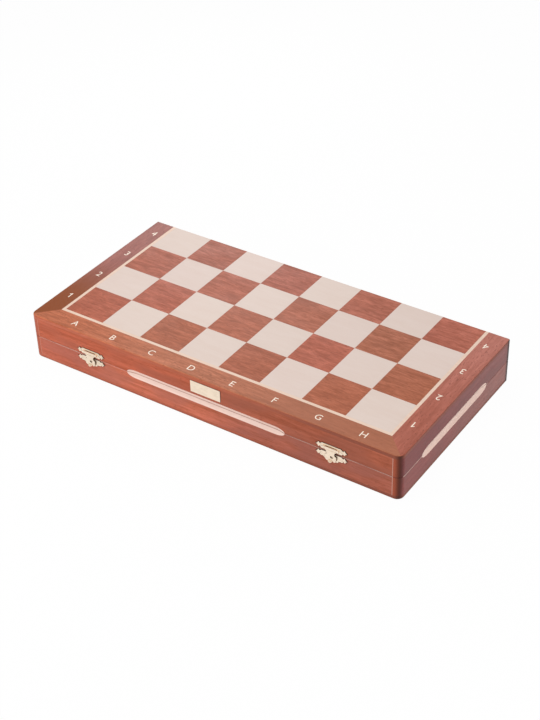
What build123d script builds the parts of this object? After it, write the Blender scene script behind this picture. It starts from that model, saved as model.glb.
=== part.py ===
from build123d import *
from collections import namedtuple
from math import asin, cos, radians, sin, sqrt
import os

# Folding chess case with its set of men. Millimetres, +Z up, latches towards -Y, the fold
# towards +Y. The origin is under the middle of the closed case, on the face it stands on.
# The upper half carries ranks 1 to 4 on top, the lower half ranks 5 to 8 underneath.

# Playing field
square = 58.0
files = 8
ranks = 4
fold_trim = 3.5
stringing_width = 4.1
border_width = 27.4
veneer_thickness = 0.6
veneer_joint = 0.06

# Case halves
panel_thickness = 4.4
half_height = 31.0
parting_gap = 0.3
rail_thickness = 10.0
corner_radius = 9.0
edge_round = 1.5
arris = 0.4

# Coved grooves that expose the pale wood along the parting line
cove_radius = 8.1
cove_run_out = 38.0
front_cove_length = 225.0
front_cove_depth = 2.5
front_cove_shift = -1.0
side_cove_length = 153.0
side_cove_depth = 3.2
side_cove_shift = -4.5

# Butt hinges let into the back rails
hinge_spacing = 300.0
leaf_length = 50.0
leaf_width = 8.0
leaf_thickness = 1.2
knuckle_radius = 2.5
knuckle_count = 5
knuckle_side_play = 0.15
hinge_pin_radius = 1.2
pin_play = 0.05
back_play = 0.3
wood_play = 0.3
screw_radius = 1.1
screw_head_radius = 2.3
screw_length = 10.0
screws_per_leaf = 3
hole_play = 0.05

# Box latches on the front
left_latch_inset = 94.0
right_latch_inset = 88.0
plate_thickness = 0.8
plate_half_width = 21.3
upper_plate_top = 10.6
upper_plate_bottom = 2.6
catch_top = -0.4
catch_bottom = -10.8
barrel_height = 6.8
barrel_radius = 1.5
barrel_standoff = 0.2
barrel_length = 21.0
hasp_half_width = 7.4
hasp_thickness = 0.8
hasp_drop = 15.4
tail_length = 3.44
tail_angle = 72.0
latch_pin_radius = 0.6
hasp_side_play = 0.15
slot_width = 3.2
slot_height = 3.0
slot_height_centre = -4.0
slot_shift = 1.5
tongue_play = 0.25
nail_radius = 0.6
nail_head_radius = 1.15
nail_head_height = 0.6
nail_length = 6.5
nail_offset = 13.4

# Bare name plate on the upper front rail
plate_width = 42.5
plate_height = 16.0
plate_centre_x = 3.0
plate_centre_below_top = 13.7
name_plate_thickness = 0.8

# Flocked foam trays and the men that lie in them
tray_play = 0.5
tray_below_parting = 3.0
bed_floor = 1.0
bed_play = 0.3
relief_play = 1.5
felt_thickness = 1.0
slug_share = 0.45
slug_height_share = 0.5
slug_play = 0.1

Chessman = namedtuple("Chessman", "height base_radius neck_height neck_radius head_radius")
king = Chessman(98.0, 20.0, 58.0, 6.5, 11.5)
queen = Chessman(88.0, 19.0, 54.0, 6.2, 11.0)
bishop = Chessman(76.0, 17.5, 45.0, 5.4, 8.6)
knight = Chessman(72.0, 17.5, 17.0, 12.0, 17.0)
rook = Chessman(58.0, 17.0, 36.0, 8.5, 12.5)
pawn = Chessman(52.0, 15.0, 34.0, 4.8, 8.6)

# Sizes and places that follow
case_width = files * square + 2 * (stringing_width + border_width)
case_depth = ranks * square - fold_trim + stringing_width + border_width
case_height = 2 * half_height + parting_gap
mid_height = case_height / 2
floor_height = veneer_thickness + panel_thickness
barrel_out = plate_thickness + barrel_standoff + barrel_radius
tail_out = tail_length * sin(radians(tail_angle))
latch_reach = barrel_out + hasp_thickness + tail_out
hinge_reach = back_play / 2 + knuckle_radius
front_y = (latch_reach - hinge_reach - case_depth) / 2
back_y = front_y + case_depth
middle_y = front_y + case_depth / 2
hinge_y = back_y + back_play / 2
left_x = -case_width / 2
right_x = case_width / 2
field_left = left_x + border_width + stringing_width
field_front = front_y + border_width + stringing_width
fold_plane = Plane.XY.offset(mid_height)
os.makedirs("parts", exist_ok=True)


def block(low, high, mode=Mode.ADD):
    """A box between two opposite corners."""
    middle = [(a + b) / 2 for a, b in zip(low, high)]
    size = [b - a for a, b in zip(low, high)]
    with Locations(tuple(middle)):
        Box(*size, mode=mode)


def mirrored(piece):
    """The same piece on the other half, across the parting plane."""
    with BuildPart() as copy:
        mirror(piece.part, about=fold_plane)
    return copy


def finish(piece, name):
    """Label a finished piece and write it."""
    piece.part.label = name
    export_step(piece.part, f"parts/{name}.step")


# Outer form of the lower half: rounded front corners, rounded face edges that stop at the
# fold, and a fine chamfer along the parting edge.
with BuildPart() as half_form:
    with BuildSketch(Plane.XY):
        with Locations((0, middle_y)):
            Rectangle(case_width, case_depth)
    extrude(amount=half_height)
    front_corners = half_form.edges().filter_by(Axis.Z).group_by(Axis.Y)[0]
    fillet(front_corners, radius=corner_radius)
    face_edges = half_form.faces().sort_by(Axis.Z)[0].edges().sort_by(Axis.Y)[:-1]
    fillet(face_edges, radius=edge_round)
    parting_edges = half_form.faces().sort_by(Axis.Z)[-1].edges().sort_by(Axis.Y)[:-1]
    chamfer(parting_edges, length=arris)


def panel():
    """The plywood panel that closes a half and carries its veneers."""
    with BuildPart() as piece:
        block((left_x, front_y, veneer_thickness), (right_x, back_y, floor_height))
        add(half_form.part, mode=Mode.INTERSECT)
    return piece


def border(corners):
    """One mitred strip of border veneer."""
    with BuildPart() as piece:
        with BuildSketch(Plane.XY):
            with BuildLine():
                Polyline(*corners, close=True)
            make_face()
        extrude(amount=veneer_thickness)
        add(half_form.part, mode=Mode.INTERSECT)
    return piece


def stringing():
    """The three pale strips between the squares and the border."""
    inner_left = left_x + border_width
    inner_front = front_y + border_width
    with BuildPart() as piece:
        block((inner_left, inner_front, 0),
              (-inner_left, inner_front + stringing_width, veneer_thickness))
        for side in (-1, 1):
            ends = sorted((side * inner_left, side * (inner_left + stringing_width)))
            block((ends[0], field_front + veneer_joint, 0), (ends[1], back_y, veneer_thickness))
    return piece


def squares(parity):
    """Every second square of a half, as separate pieces of veneer."""
    gap = veneer_joint / 2
    with BuildPart() as piece:
        for rank in range(ranks):
            near = field_front + rank * square
            far = min(near + square, back_y + gap)
            for file in range(files):
                if (file + rank) % 2 == parity:
                    left = field_left + file * square
                    block((left + gap, near + gap, 0),
                          (left + square - gap, far - gap, veneer_thickness))
    return piece


def cove_cutter(length, depth):
    """Path of the round cutter along a face at y = 0, with the wood at y > 0."""
    lift = cove_radius - depth
    half_run = length / 2 - sqrt(2 * cove_run_out * depth - depth ** 2)
    swing = 40.0
    with BuildPart() as cutter:
        with Locations(Location((0, -lift, 0), (0, 90, 0))):
            Cylinder(cove_radius, 2 * half_run)
        for side in (-1, 1):
            with BuildSketch(Plane((side * half_run, -lift, 0), z_dir=(side, 0, 0))):
                Circle(cove_radius)
            pivot = Axis((side * half_run, -lift - cove_run_out, 0), (0, 0, -side))
            revolve(axis=pivot, revolution_arc=swing)
    return cutter.part


front_cove = cove_cutter(front_cove_length, front_cove_depth)
side_cove = cove_cutter(side_cove_length, side_cove_depth)
knuckle_pitch = leaf_length / knuckle_count
hinge_places = [(-hinge_spacing / 2, "left"), (hinge_spacing / 2, "right")]
latch_places = [(left_x + left_latch_inset, "left"), (right_x - right_latch_inset, "right")]
leaf_screw_y = back_y - leaf_width / 2 - knuckle_radius / 4
leaf_screw_pitch = leaf_length / screws_per_leaf


def screw(radius, head_radius, length):
    """Countersunk screw with its head's face at z = 0 and its tip below."""
    with BuildPart() as form:
        with BuildSketch(Plane.XZ):
            with BuildLine():
                Polyline((0, 0), (head_radius, 0), (radius, radius - head_radius),
                         (radius, radius - length), (0, -length), close=True)
            make_face()
        revolve(axis=Axis.Z)
    return form.part


def cap_middle(foot_radius, rise):
    """Point halfway up a round cap that is centred on the axis: radius, and drop from the top."""
    ball = (foot_radius ** 2 + rise ** 2) / (2 * rise)
    half_angle = asin(foot_radius / ball) / 2
    return ball * sin(half_angle), ball * (1 - cos(half_angle))


def nail(radius, head_radius, head_height, length):
    """Round-headed nail, driven towards +y, with its head's seat at y = 0."""
    dome_radius, dome_drop = cap_middle(head_radius, head_height)
    with BuildPart() as form:
        with BuildSketch(Plane.XY):
            with BuildLine():
                Line((0, -head_height), (0, length))
                Line((0, length), (radius, length - 2 * radius))
                Line((radius, length - 2 * radius), (radius, 0))
                Line((radius, 0), (head_radius, 0))
                ThreePointArc((head_radius, 0), (dome_radius, dome_drop - head_height),
                              (0, -head_height))
            make_face()
        revolve(axis=Axis.Y)
    return form.part


leaf_screw = screw(screw_radius, screw_head_radius, screw_length)
screw_hole = screw(screw_radius + hole_play, screw_head_radius + hole_play, screw_length + hole_play)
plate_nail = nail(nail_radius, nail_head_radius, nail_head_height, nail_length)


def nail_hole(latch_x, height, depth):
    """The two holes of a latch's nails, as deep into the wood as they reach out of it."""
    for side in (-1, 1):
        with Locations(Location((latch_x + side * nail_offset, front_y, height), (90, 0, 0))):
            Cylinder(nail_radius + hole_play, 2 * depth, mode=Mode.SUBTRACT)


def leaf_screw_places(hinge_x):
    """Screw heads of one leaf of one hinge, flush with its face."""
    offsets = [(i - (screws_per_leaf - 1) / 2) * leaf_screw_pitch for i in range(screws_per_leaf)]
    return [(hinge_x + offset, leaf_screw_y, half_height) for offset in offsets]


def hinge_barrel(hinge_x, radius, length, mode):
    """A cylinder on the fold's axis."""
    with Locations(Location((hinge_x, hinge_y, mid_height), (0, 90, 0))):
        Cylinder(radius, length, mode=mode)


def back_rail():
    """Back rail, let in for the hinge leaves and their knuckles."""
    with BuildPart() as piece:
        block((left_x + rail_thickness, back_y - rail_thickness, floor_height),
              (right_x - rail_thickness, back_y, half_height))
        for hinge_x, side in hinge_places:
            block((hinge_x - leaf_length / 2, back_y - leaf_width, half_height - leaf_thickness),
                  (hinge_x + leaf_length / 2, back_y, half_height), mode=Mode.SUBTRACT)
            hinge_barrel(hinge_x, knuckle_radius + wood_play, leaf_length, Mode.SUBTRACT)
            with Locations(*leaf_screw_places(hinge_x)):
                add(screw_hole, mode=Mode.SUBTRACT)
    return piece


def front_rail(pin_height):
    """Front rail between the side rails, with the cove and the latch nails' holes."""
    depth = nail_length + hole_play
    with BuildPart() as piece:
        block((left_x + rail_thickness, front_y, floor_height),
              (right_x - rail_thickness, front_y + rail_thickness, half_height))
        add(half_form.part, mode=Mode.INTERSECT)
        with Locations((front_cove_shift, front_y, mid_height)):
            add(front_cove, mode=Mode.SUBTRACT)
        for latch_x, side in latch_places:
            nail_hole(latch_x, pin_height, depth)
    return piece


def side_rail(side):
    """Side rail over the whole depth, with its rounded front corner and cove."""
    face_x = side * case_width / 2
    ends = sorted((face_x, face_x - side * rail_thickness))
    cove_place = Location((face_x, middle_y + side_cove_shift, mid_height), (0, 0, side * 90))
    with BuildPart() as piece:
        block((ends[0], front_y, floor_height), (ends[1], back_y, half_height))
        add(half_form.part, mode=Mode.INTERSECT)
        with Locations(cove_place):
            add(side_cove, mode=Mode.SUBTRACT)
    return piece


inner_corner = (left_x + border_width, front_y + border_width)
front_border = [(left_x, front_y), (right_x, front_y), (-inner_corner[0], inner_corner[1]),
                inner_corner]
left_border = [(left_x, front_y), inner_corner, (inner_corner[0], back_y), (left_x, back_y)]
right_border = [(-x, y) for x, y in left_border]
upper_nail_height = mid_height + (upper_plate_top + upper_plate_bottom) / 2
catch_nail_height = mid_height + (catch_top + catch_bottom) / 2 + 1.1

finish(panel(), "lower_board_panel")
finish(mirrored(panel()), "upper_board_panel")
for corners, name in ((front_border, "border_front"), (left_border, "border_left"),
                      (right_border, "border_right")):
    finish(border(corners), f"lower_{name}")
    finish(mirrored(border(corners)), f"upper_{name}")
finish(stringing(), "lower_stringing")
finish(mirrored(stringing()), "upper_stringing")
finish(squares(1), "lower_dark_squares")
finish(squares(0), "lower_light_squares")
finish(mirrored(squares(0)), "upper_dark_squares")
finish(mirrored(squares(1)), "upper_light_squares")
finish(back_rail(), "lower_back_rail")
finish(mirrored(back_rail()), "upper_back_rail")
finish(front_rail(catch_nail_height), "lower_front_rail")
finish(mirrored(front_rail(case_height - upper_nail_height)), "upper_front_rail")
for side, name in ((-1, "left_rail"), (1, "right_rail")):
    finish(side_rail(side), f"lower_{name}")
    finish(mirrored(side_rail(side)), f"upper_{name}")


def hinge_leaf(hinge_x, first_knuckle):
    """Leaf in the lower rail, with every second knuckle from first_knuckle on."""
    centres = [hinge_x + (i - (knuckle_count - 1) / 2) * knuckle_pitch
               for i in range(knuckle_count)]
    with BuildPart() as piece:
        block((hinge_x - leaf_length / 2, back_y - leaf_width, half_height - leaf_thickness),
              (hinge_x + leaf_length / 2, hinge_y, half_height))
        hinge_barrel(hinge_x, knuckle_radius + wood_play, leaf_length, Mode.SUBTRACT)
        for i in range(first_knuckle, knuckle_count, 2):
            length = knuckle_pitch - 2 * knuckle_side_play
            block((centres[i] - length / 2, hinge_y - 2 * knuckle_radius, half_height - leaf_thickness),
                  (centres[i] + length / 2, hinge_y, half_height))
            hinge_barrel(centres[i], knuckle_radius, length, Mode.ADD)
        hinge_barrel(hinge_x, hinge_pin_radius + pin_play, leaf_length, Mode.SUBTRACT)
        with Locations(*leaf_screw_places(hinge_x)):
            add(screw_hole, mode=Mode.SUBTRACT)
    return piece


with BuildPart() as hinge_screws_lower:
    for hinge_x, side in hinge_places:
        with Locations(*leaf_screw_places(hinge_x)):
            add(leaf_screw)
finish(hinge_screws_lower, "hinge_screws_lower")
finish(mirrored(hinge_screws_lower), "hinge_screws_upper")
for hinge_x, side in hinge_places:
    finish(hinge_leaf(hinge_x, 0), f"hinge_{side}_lower_leaf")
    finish(mirrored(hinge_leaf(hinge_x, 1)), f"hinge_{side}_upper_leaf")
    with BuildPart() as hinge_pin:
        hinge_barrel(hinge_x, hinge_pin_radius, leaf_length, Mode.ADD)
        chamfer(hinge_pin.edges(), length=pin_play * 4)
    finish(hinge_pin, f"hinge_{side}_pin")


def latch_plane(latch_x, out=0.0):
    """Drawing plane on the front face: x to the right, y up from the parting line."""
    return Plane((latch_x, front_y - out, mid_height), x_dir=(1, 0, 0), z_dir=(0, -1, 0))


def scroll_outline(lines, arcs):
    """The right half of an outline, mirrored to the left, for a sketch's line block."""
    for start, end in lines:
        Line(start, end)
    for start, through, end in arcs:
        ThreePointArc(start, through, end)
    mirror(about=Plane.YZ)


def upper_latch_plate(latch_x):
    """Stamped plate above the parting line, with the two end knuckles of the barrel."""
    tip = plate_half_width
    top = upper_plate_top
    low = upper_plate_bottom
    middle = (top + low) / 2
    shoulder = (0.6 * tip, top)
    waist = (0.74 * tip, middle + 2.2)
    upper_lobe = (0.83 * tip, middle + 3.4)
    lower_lobe = (0.83 * tip, middle - 3.2)
    knee = (0.74 * tip, middle - 2.0)
    hip = (0.66 * tip, low)
    side_length = (barrel_length - 2 * hasp_half_width) / 2
    pin_hole = latch_pin_radius + pin_play
    with BuildPart() as piece:
        with BuildSketch(latch_plane(latch_x)):
            with BuildLine():
                scroll_outline([((0, top), shoulder), (hip, (0, low))],
                               [(shoulder, (0.66 * tip, middle + 2.6), waist),
                                (waist, (0.77 * tip, middle + 3.2), upper_lobe),
                                (upper_lobe, (0.88 * tip, middle + 1.3), (tip, middle)),
                                ((tip, middle), (0.88 * tip, middle - 1.2), lower_lobe),
                                (lower_lobe, (0.77 * tip, middle - 3.0), knee),
                                (knee, (0.68 * tip, middle - 2.7), hip)])
            make_face()
        extrude(amount=plate_thickness)
        for side in (-1, 1):
            centre = latch_x + side * (hasp_half_width + hasp_side_play + side_length / 2)
            with Locations(Location((centre, front_y - barrel_out, mid_height + barrel_height),
                                    (0, 90, 0))):
                Cylinder(barrel_radius, side_length)
            block((centre - side_length / 2, front_y - barrel_out, mid_height + barrel_height),
                  (centre + side_length / 2, front_y, mid_height + barrel_height + barrel_radius))
        with Locations(Location((latch_x, front_y - barrel_out, mid_height + barrel_height),
                                (0, 90, 0))):
            Cylinder(pin_hole, 2 * barrel_length, mode=Mode.SUBTRACT)
        nail_hole(latch_x, upper_nail_height, nail_length)
    return piece


def catch_plate(latch_x):
    """Stamped plate below the parting line, with the tongue that the hasp's slot goes over."""
    tip = plate_half_width
    top = catch_top
    low = catch_bottom
    outer = (tip, top - 3.6)
    shoulder = (0.64 * tip, top)
    waist = (0.75 * tip, top - 1.5)
    upper_lobe = (0.84 * tip, top - 0.6)
    lower_lobe = (0.85 * tip, top - 6.6)
    knee = (0.74 * tip, top - 5.4)
    hip = (0.58 * tip, top - 7.6)
    foot = (0.42 * tip, low + 0.9)
    tongue_out = barrel_out - hasp_thickness / 2 - tongue_play
    with BuildPart() as piece:
        with BuildSketch(latch_plane(latch_x)):
            with BuildLine():
                scroll_outline([((0, top), shoulder), ((0.22 * tip, low), (0, low))],
                               [(shoulder, (0.69 * tip, top - 1.3), waist),
                                (waist, (0.78 * tip, top - 0.5), upper_lobe),
                                (upper_lobe, (0.88 * tip, top - 2.5), outer),
                                (outer, (0.9 * tip, top - 4.8), lower_lobe),
                                (lower_lobe, (0.78 * tip, top - 6.6), knee),
                                (knee, (0.68 * tip, top - 7.2), hip),
                                (hip, (0.47 * tip, top - 8.1), foot),
                                (foot, (0.32 * tip, low + 0.1), (0.22 * tip, low))])
            make_face()
        extrude(amount=plate_thickness)
        with BuildSketch(latch_plane(latch_x)):
            with Locations((slot_shift, slot_height_centre)):
                SlotOverall(0.6 * slot_width, 0.55 * slot_height)
        extrude(amount=tongue_out)
        nail_hole(latch_x, catch_nail_height, nail_length)
    return piece


def hasp(latch_x):
    """Flap on the barrel, with a slot over the tongue, two round lobes and a tab that flares out."""
    wide = hasp_half_width
    foot = barrel_height - hasp_drop
    waist = 0.72 * wide
    tail_plane = Plane((latch_x, front_y - barrel_out, mid_height + foot), x_dir=(1, 0, 0),
                       z_dir=(0, -cos(radians(tail_angle)), sin(radians(tail_angle))))
    barrel_place = Location((latch_x, front_y - barrel_out, mid_height + barrel_height), (0, 90, 0))
    with BuildPart() as piece:
        with BuildSketch(latch_plane(latch_x, barrel_out)):
            with BuildLine():
                scroll_outline([((0, barrel_height), (wide, barrel_height)),
                                ((wide, barrel_height), (wide, barrel_height - 1.6 * barrel_radius)),
                                ((0.36 * wide, foot), (0, foot))],
                               [((wide, barrel_height - 1.6 * barrel_radius), (waist, 1.6), (waist, -1.0)),
                                ((waist, -1.0), (wide, slot_height_centre + 1.6),
                                 (wide, slot_height_centre)),
                                ((wide, slot_height_centre), (0.98 * wide, foot + 2.0), (0.9 * wide, foot)),
                                ((0.9 * wide, foot), (0.63 * wide, foot - 0.2 * wide),
                                 (0.36 * wide, foot))])
            make_face()
        extrude(amount=hasp_thickness / 2, both=True)
        with BuildSketch(tail_plane):
            with BuildLine():
                scroll_outline([((0, 0), (0.3 * wide, 0))],
                               [((0.3 * wide, 0), (0.37 * wide, -0.4 * tail_length),
                                 (0.3 * wide, -0.75 * tail_length)),
                                ((0.3 * wide, -0.75 * tail_length), (0.19 * wide, -0.94 * tail_length),
                                 (0, -tail_length))])
            make_face()
        extrude(amount=hasp_thickness / 2, both=True)
        with Locations(barrel_place):
            Cylinder(barrel_radius, 2 * wide)
            Cylinder(latch_pin_radius + pin_play, 4 * wide, mode=Mode.SUBTRACT)
        with BuildSketch(latch_plane(latch_x, barrel_out)):
            with Locations((slot_shift, slot_height_centre)):
                SlotOverall(slot_width, slot_height)
        extrude(amount=2 * hasp_thickness, both=True, mode=Mode.SUBTRACT)
    return piece


def latch_nails(height):
    """The four round-headed nails of the plates at one height."""
    with BuildPart() as piece:
        for latch_x, side in latch_places:
            with Locations((latch_x - nail_offset, front_y - plate_thickness, height),
                           (latch_x + nail_offset, front_y - plate_thickness, height)):
                add(plate_nail)
    return piece


for latch_x, side in latch_places:
    finish(upper_latch_plate(latch_x), f"latch_{side}_upper_plate")
    finish(catch_plate(latch_x), f"latch_{side}_catch_plate")
    finish(hasp(latch_x), f"latch_{side}_hasp")
    with BuildPart() as latch_pin:
        with Locations(Location((latch_x, front_y - barrel_out, mid_height + barrel_height),
                                (0, 90, 0))):
            Cylinder(latch_pin_radius, barrel_length + 2 * hasp_side_play)
    finish(latch_pin, f"latch_{side}_pin")
finish(latch_nails(upper_nail_height), "latch_nails_upper")
finish(latch_nails(catch_nail_height), "latch_nails_lower")

with BuildPart() as name_plate:
    with BuildSketch(Plane((plate_centre_x, front_y, case_height - plate_centre_below_top),
                           x_dir=(1, 0, 0), z_dir=(0, -1, 0))):
        RectangleRounded(plate_width, plate_height, plate_thickness)
    extrude(amount=name_plate_thickness)
    chamfer(name_plate.faces().sort_by(Axis.Y)[0].edges(), length=name_plate_thickness / 4)
finish(name_plate, "name_plate")


# The men. Each is turned about its own upright axis on a felt disc at z = 0.
def foot_outline(man):
    """Foot of a turned man from the axis out and up to the neck, for a line block."""
    wide = man.base_radius
    low = felt_thickness
    waist = (0.6 * wide, low + 0.6 * wide)
    neck = (man.neck_radius, man.neck_height)
    belly = (0.68 * man.neck_radius + 0.32 * waist[0], 0.62 * waist[1] + 0.38 * man.neck_height)
    Line((0, low), (0.94 * wide, low))
    ThreePointArc((0.94 * wide, low), (wide, low + 0.14 * wide), (0.93 * wide, low + 0.28 * wide))
    Line((0.93 * wide, low + 0.28 * wide), (0.85 * wide, low + 0.31 * wide))
    ThreePointArc((0.85 * wide, low + 0.31 * wide), (0.8 * wide, low + 0.46 * wide),
                  (0.66 * wide, low + 0.54 * wide))
    Line((0.66 * wide, low + 0.54 * wide), waist)
    ThreePointArc(waist, belly, neck)


def collar_outline(inner, height, thickness, *outers):
    """Half-round collars on a neck, one on the other, for a line block."""
    bulge = thickness / 2
    last = (inner, height)
    for outer in outers:
        Line(last, (outer - bulge, last[1]))
        ThreePointArc((outer - bulge, last[1]), (outer, last[1] + bulge),
                      (outer - bulge, last[1] + thickness))
        last = (outer - bulge, last[1] + thickness)
    Line(last, (inner, last[1]))


def bored(man):
    """Bore for the weight, cut up from the face that the felt covers."""
    with Locations((0, 0, felt_thickness)):
        Cylinder(slug_share * man.base_radius + slug_play,
                 slug_height_share * man.base_radius + slug_play,
                 align=(Align.CENTER, Align.CENTER, Align.MIN), mode=Mode.SUBTRACT)


def turned_pawn():
    """Pawn: foot, collar and ball."""
    man = pawn
    collar = 0.14 * man.base_radius
    top_of_collar = man.neck_height + collar
    ball_centre = man.height - man.head_radius
    ball_foot = sqrt(man.head_radius ** 2 - (ball_centre - top_of_collar) ** 2)
    with BuildPart() as piece:
        with BuildSketch(Plane.XZ):
            with BuildLine():
                foot_outline(man)
                collar_outline(man.neck_radius, man.neck_height, collar, 1.05 * man.head_radius)
                Line((man.neck_radius, top_of_collar), (ball_foot, top_of_collar))
                ThreePointArc((ball_foot, top_of_collar), (man.head_radius, ball_centre),
                              (0, man.height))
                Line((0, man.height), (0, felt_thickness))
            make_face()
        revolve(axis=Axis.Z)
        bored(man)
    return piece.part


def turned_rook():
    """Rook: foot, collar and a hollow tower head with six merlons."""
    man = rook
    wide = man.head_radius
    collar = 0.14 * man.base_radius
    head_low = man.neck_height + collar
    rim_low = man.height - 0.6 * wide
    with BuildPart() as piece:
        with BuildSketch(Plane.XZ):
            with BuildLine():
                foot_outline(man)
                collar_outline(man.neck_radius, man.neck_height, collar, 0.92 * wide)
                ThreePointArc((man.neck_radius, head_low), (0.76 * wide, (head_low + rim_low) / 2),
                              (0.9 * wide, rim_low))
                Polyline((0.9 * wide, rim_low), (wide, rim_low), (wide, man.height),
                         (0.66 * wide, man.height), (0.66 * wide, rim_low), (0, rim_low),
                         (0, felt_thickness))
            make_face()
        revolve(axis=Axis.Z)
        for turn in range(3):
            with Locations(Location((0, 0, man.height), (0, 0, 60 * turn))):
                Box(2.2 * wide, 0.26 * wide, 0.7 * wide, mode=Mode.SUBTRACT)
        bored(man)
    return piece.part


def turned_bishop():
    """Bishop: foot, two collars, and a mitre with its slanted cut and a bead on top."""
    man = bishop
    wide = man.head_radius
    collar = 0.13 * man.base_radius
    head_low = man.neck_height + 2 * collar
    bead = 0.24 * wide
    bead_centre = man.height - bead
    with BuildPart() as piece:
        with BuildSketch(Plane.XZ):
            with BuildLine():
                foot_outline(man)
                collar_outline(man.neck_radius, man.neck_height, collar, 1.15 * wide, 0.88 * wide)
                ThreePointArc((man.neck_radius, head_low), (wide, head_low + 0.9 * wide),
                              (0.6 * bead, bead_centre - 0.8 * bead))
                ThreePointArc((0.6 * bead, bead_centre - 0.8 * bead), (bead, bead_centre),
                              (0, man.height))
                Line((0, man.height), (0, felt_thickness))
            make_face()
        revolve(axis=Axis.Z)
        with Locations(Location((0.9 * wide, 0, man.height - 1.35 * wide), (0, -50, 0))):
            Box(1.8 * wide, 3 * wide, 0.18 * wide, mode=Mode.SUBTRACT)
        bored(man)
    return piece.part


def royal_outline(man, collar, rim_height, rim_radius):
    """Foot, two collars and flared head of a king or queen up to the rim, for a line block."""
    head_low = man.neck_height + 2 * collar
    foot_outline(man)
    collar_outline(man.neck_radius, man.neck_height, collar, 1.1 * man.head_radius,
                   0.88 * man.head_radius)
    ThreePointArc((man.neck_radius, head_low),
                  (0.72 * man.neck_radius + 0.28 * rim_radius, (head_low + rim_height) / 2),
                  (rim_radius, rim_height))


def turned_queen():
    """Queen: flared head with an eight-pointed coronet, a dome and a ball."""
    man = queen
    wide = man.head_radius
    ball = 0.28 * wide
    ball_centre = man.height - ball
    rim_height = man.height - 0.78 * wide
    ball_foot = ball * sqrt(0.5)
    dome_top = ball_centre - ball_foot
    with BuildPart() as piece:
        with BuildSketch(Plane.XZ):
            with BuildLine():
                royal_outline(man, 0.13 * man.base_radius, rim_height, wide)
                Line((wide, rim_height), (0.78 * wide, rim_height))
                ThreePointArc((0.78 * wide, rim_height), (0.5 * wide, dome_top - 0.12 * wide),
                              (ball_foot, dome_top))
                ThreePointArc((ball_foot, dome_top), (ball, ball_centre), (0, man.height))
                Line((0, man.height), (0, felt_thickness))
            make_face()
        revolve(axis=Axis.Z)
        with PolarLocations(1.04 * wide, 8):
            with Locations(Location((0, 0, rim_height + 0.06 * wide), (0, 90, 0))):
                Cylinder(0.2 * wide, 0.7 * wide, mode=Mode.SUBTRACT)
        bored(man)
    return piece.part


def turned_king():
    """King: flared crown, dome and a flared cross."""
    man = king
    wide = man.head_radius
    cross = 0.98 * wide
    arm = 0.5 * cross
    rim_height = man.height - cross - 0.42 * wide
    crown_height = rim_height + 0.52 * wide
    dome_radius, dome_drop = cap_middle(0.86 * wide, 0.28 * wide)
    with BuildPart() as piece:
        with BuildSketch(Plane.XZ):
            with BuildLine():
                royal_outline(man, 0.13 * man.base_radius, rim_height, 0.92 * wide)
                ThreePointArc((0.92 * wide, rim_height), (wide, rim_height + 0.12 * wide),
                              (0.86 * wide, rim_height + 0.24 * wide))
                ThreePointArc((0.86 * wide, rim_height + 0.24 * wide),
                              (dome_radius, crown_height - dome_drop), (0, crown_height))
                Line((0, crown_height), (0, felt_thickness))
            make_face()
        revolve(axis=Axis.Z)
        with BuildSketch(Plane.XZ.offset(-0.14 * wide)):
            with BuildLine():
                Polyline((0, man.height), (0.36 * arm, man.height), (0.2 * arm, man.height - 0.72 * arm),
                         (arm, man.height - 0.6 * arm), (arm, man.height - 1.3 * arm),
                         (0.2 * arm, man.height - 1.16 * arm), (0.34 * arm, rim_height + 0.3 * wide),
                         (0, rim_height + 0.3 * wide))
                mirror(about=Plane.YZ)
            make_face()
        extrude(amount=0.28 * wide)
        bored(man)
    return piece.part


def carved_knight():
    """Knight: turned foot and collar with a carved horse's head that looks along +x."""
    man = knight
    low = man.neck_height
    tall = man.height - low
    wide = man.head_radius
    half_thick = 0.5 * wide
    outline = [((-0.62 * wide, low), (-0.86 * wide, low + 0.3 * tall), (-0.62 * wide, low + 0.62 * tall)),
               ((-0.62 * wide, low + 0.62 * tall), (-0.36 * wide, low + 0.82 * tall),
                (-0.06 * wide, low + 0.9 * tall)),
               ((-0.06 * wide, low + 0.9 * tall), (0.02 * wide, low + 0.96 * tall),
                (0.1 * wide, man.height)),
               ((0.1 * wide, man.height), (0.26 * wide, low + 0.93 * tall),
                (0.34 * wide, low + 0.84 * tall)),
               ((0.34 * wide, low + 0.84 * tall), (0.7 * wide, low + 0.7 * tall),
                (0.94 * wide, low + 0.5 * tall)),
               ((0.94 * wide, low + 0.5 * tall), (0.96 * wide, low + 0.42 * tall),
                (0.8 * wide, low + 0.38 * tall)),
               ((0.8 * wide, low + 0.38 * tall), (0.5 * wide, low + 0.44 * tall),
                (0.2 * wide, low + 0.46 * tall)),
               ((0.2 * wide, low + 0.46 * tall), (0.36 * wide, low + 0.28 * tall), (0.66 * wide, low))]
    with BuildPart() as piece:
        with BuildSketch(Plane.XZ.offset(-half_thick)):
            with BuildLine():
                for start, through, end in outline:
                    ThreePointArc(start, through, end)
                Line(outline[-1][2], outline[0][0])
            make_face()
        extrude(amount=2 * half_thick)
        with BuildSketch(Plane.YZ.offset(-2 * wide)):
            with BuildLine():
                Polyline((0, low - wide), (half_thick, low - wide), (half_thick, low + 0.2 * tall),
                         (0.84 * half_thick, low + 0.62 * tall), (0.42 * half_thick, man.height),
                         (0, man.height + 1))
                mirror(about=Plane.YZ)
            make_face()
        extrude(amount=4 * wide, mode=Mode.INTERSECT)
        with BuildSketch(Plane.XZ):
            with BuildLine():
                foot_outline(man)
                collar_outline(man.neck_radius, low, 0.14 * man.base_radius, 0.8 * wide)
                Line((man.neck_radius, low + 0.14 * man.base_radius), (0, low + 0.14 * man.base_radius))
                Line((0, low + 0.14 * man.base_radius), (0, felt_thickness))
            make_face()
        revolve(axis=Axis.Z)
        bored(man)
    return piece.part


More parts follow.
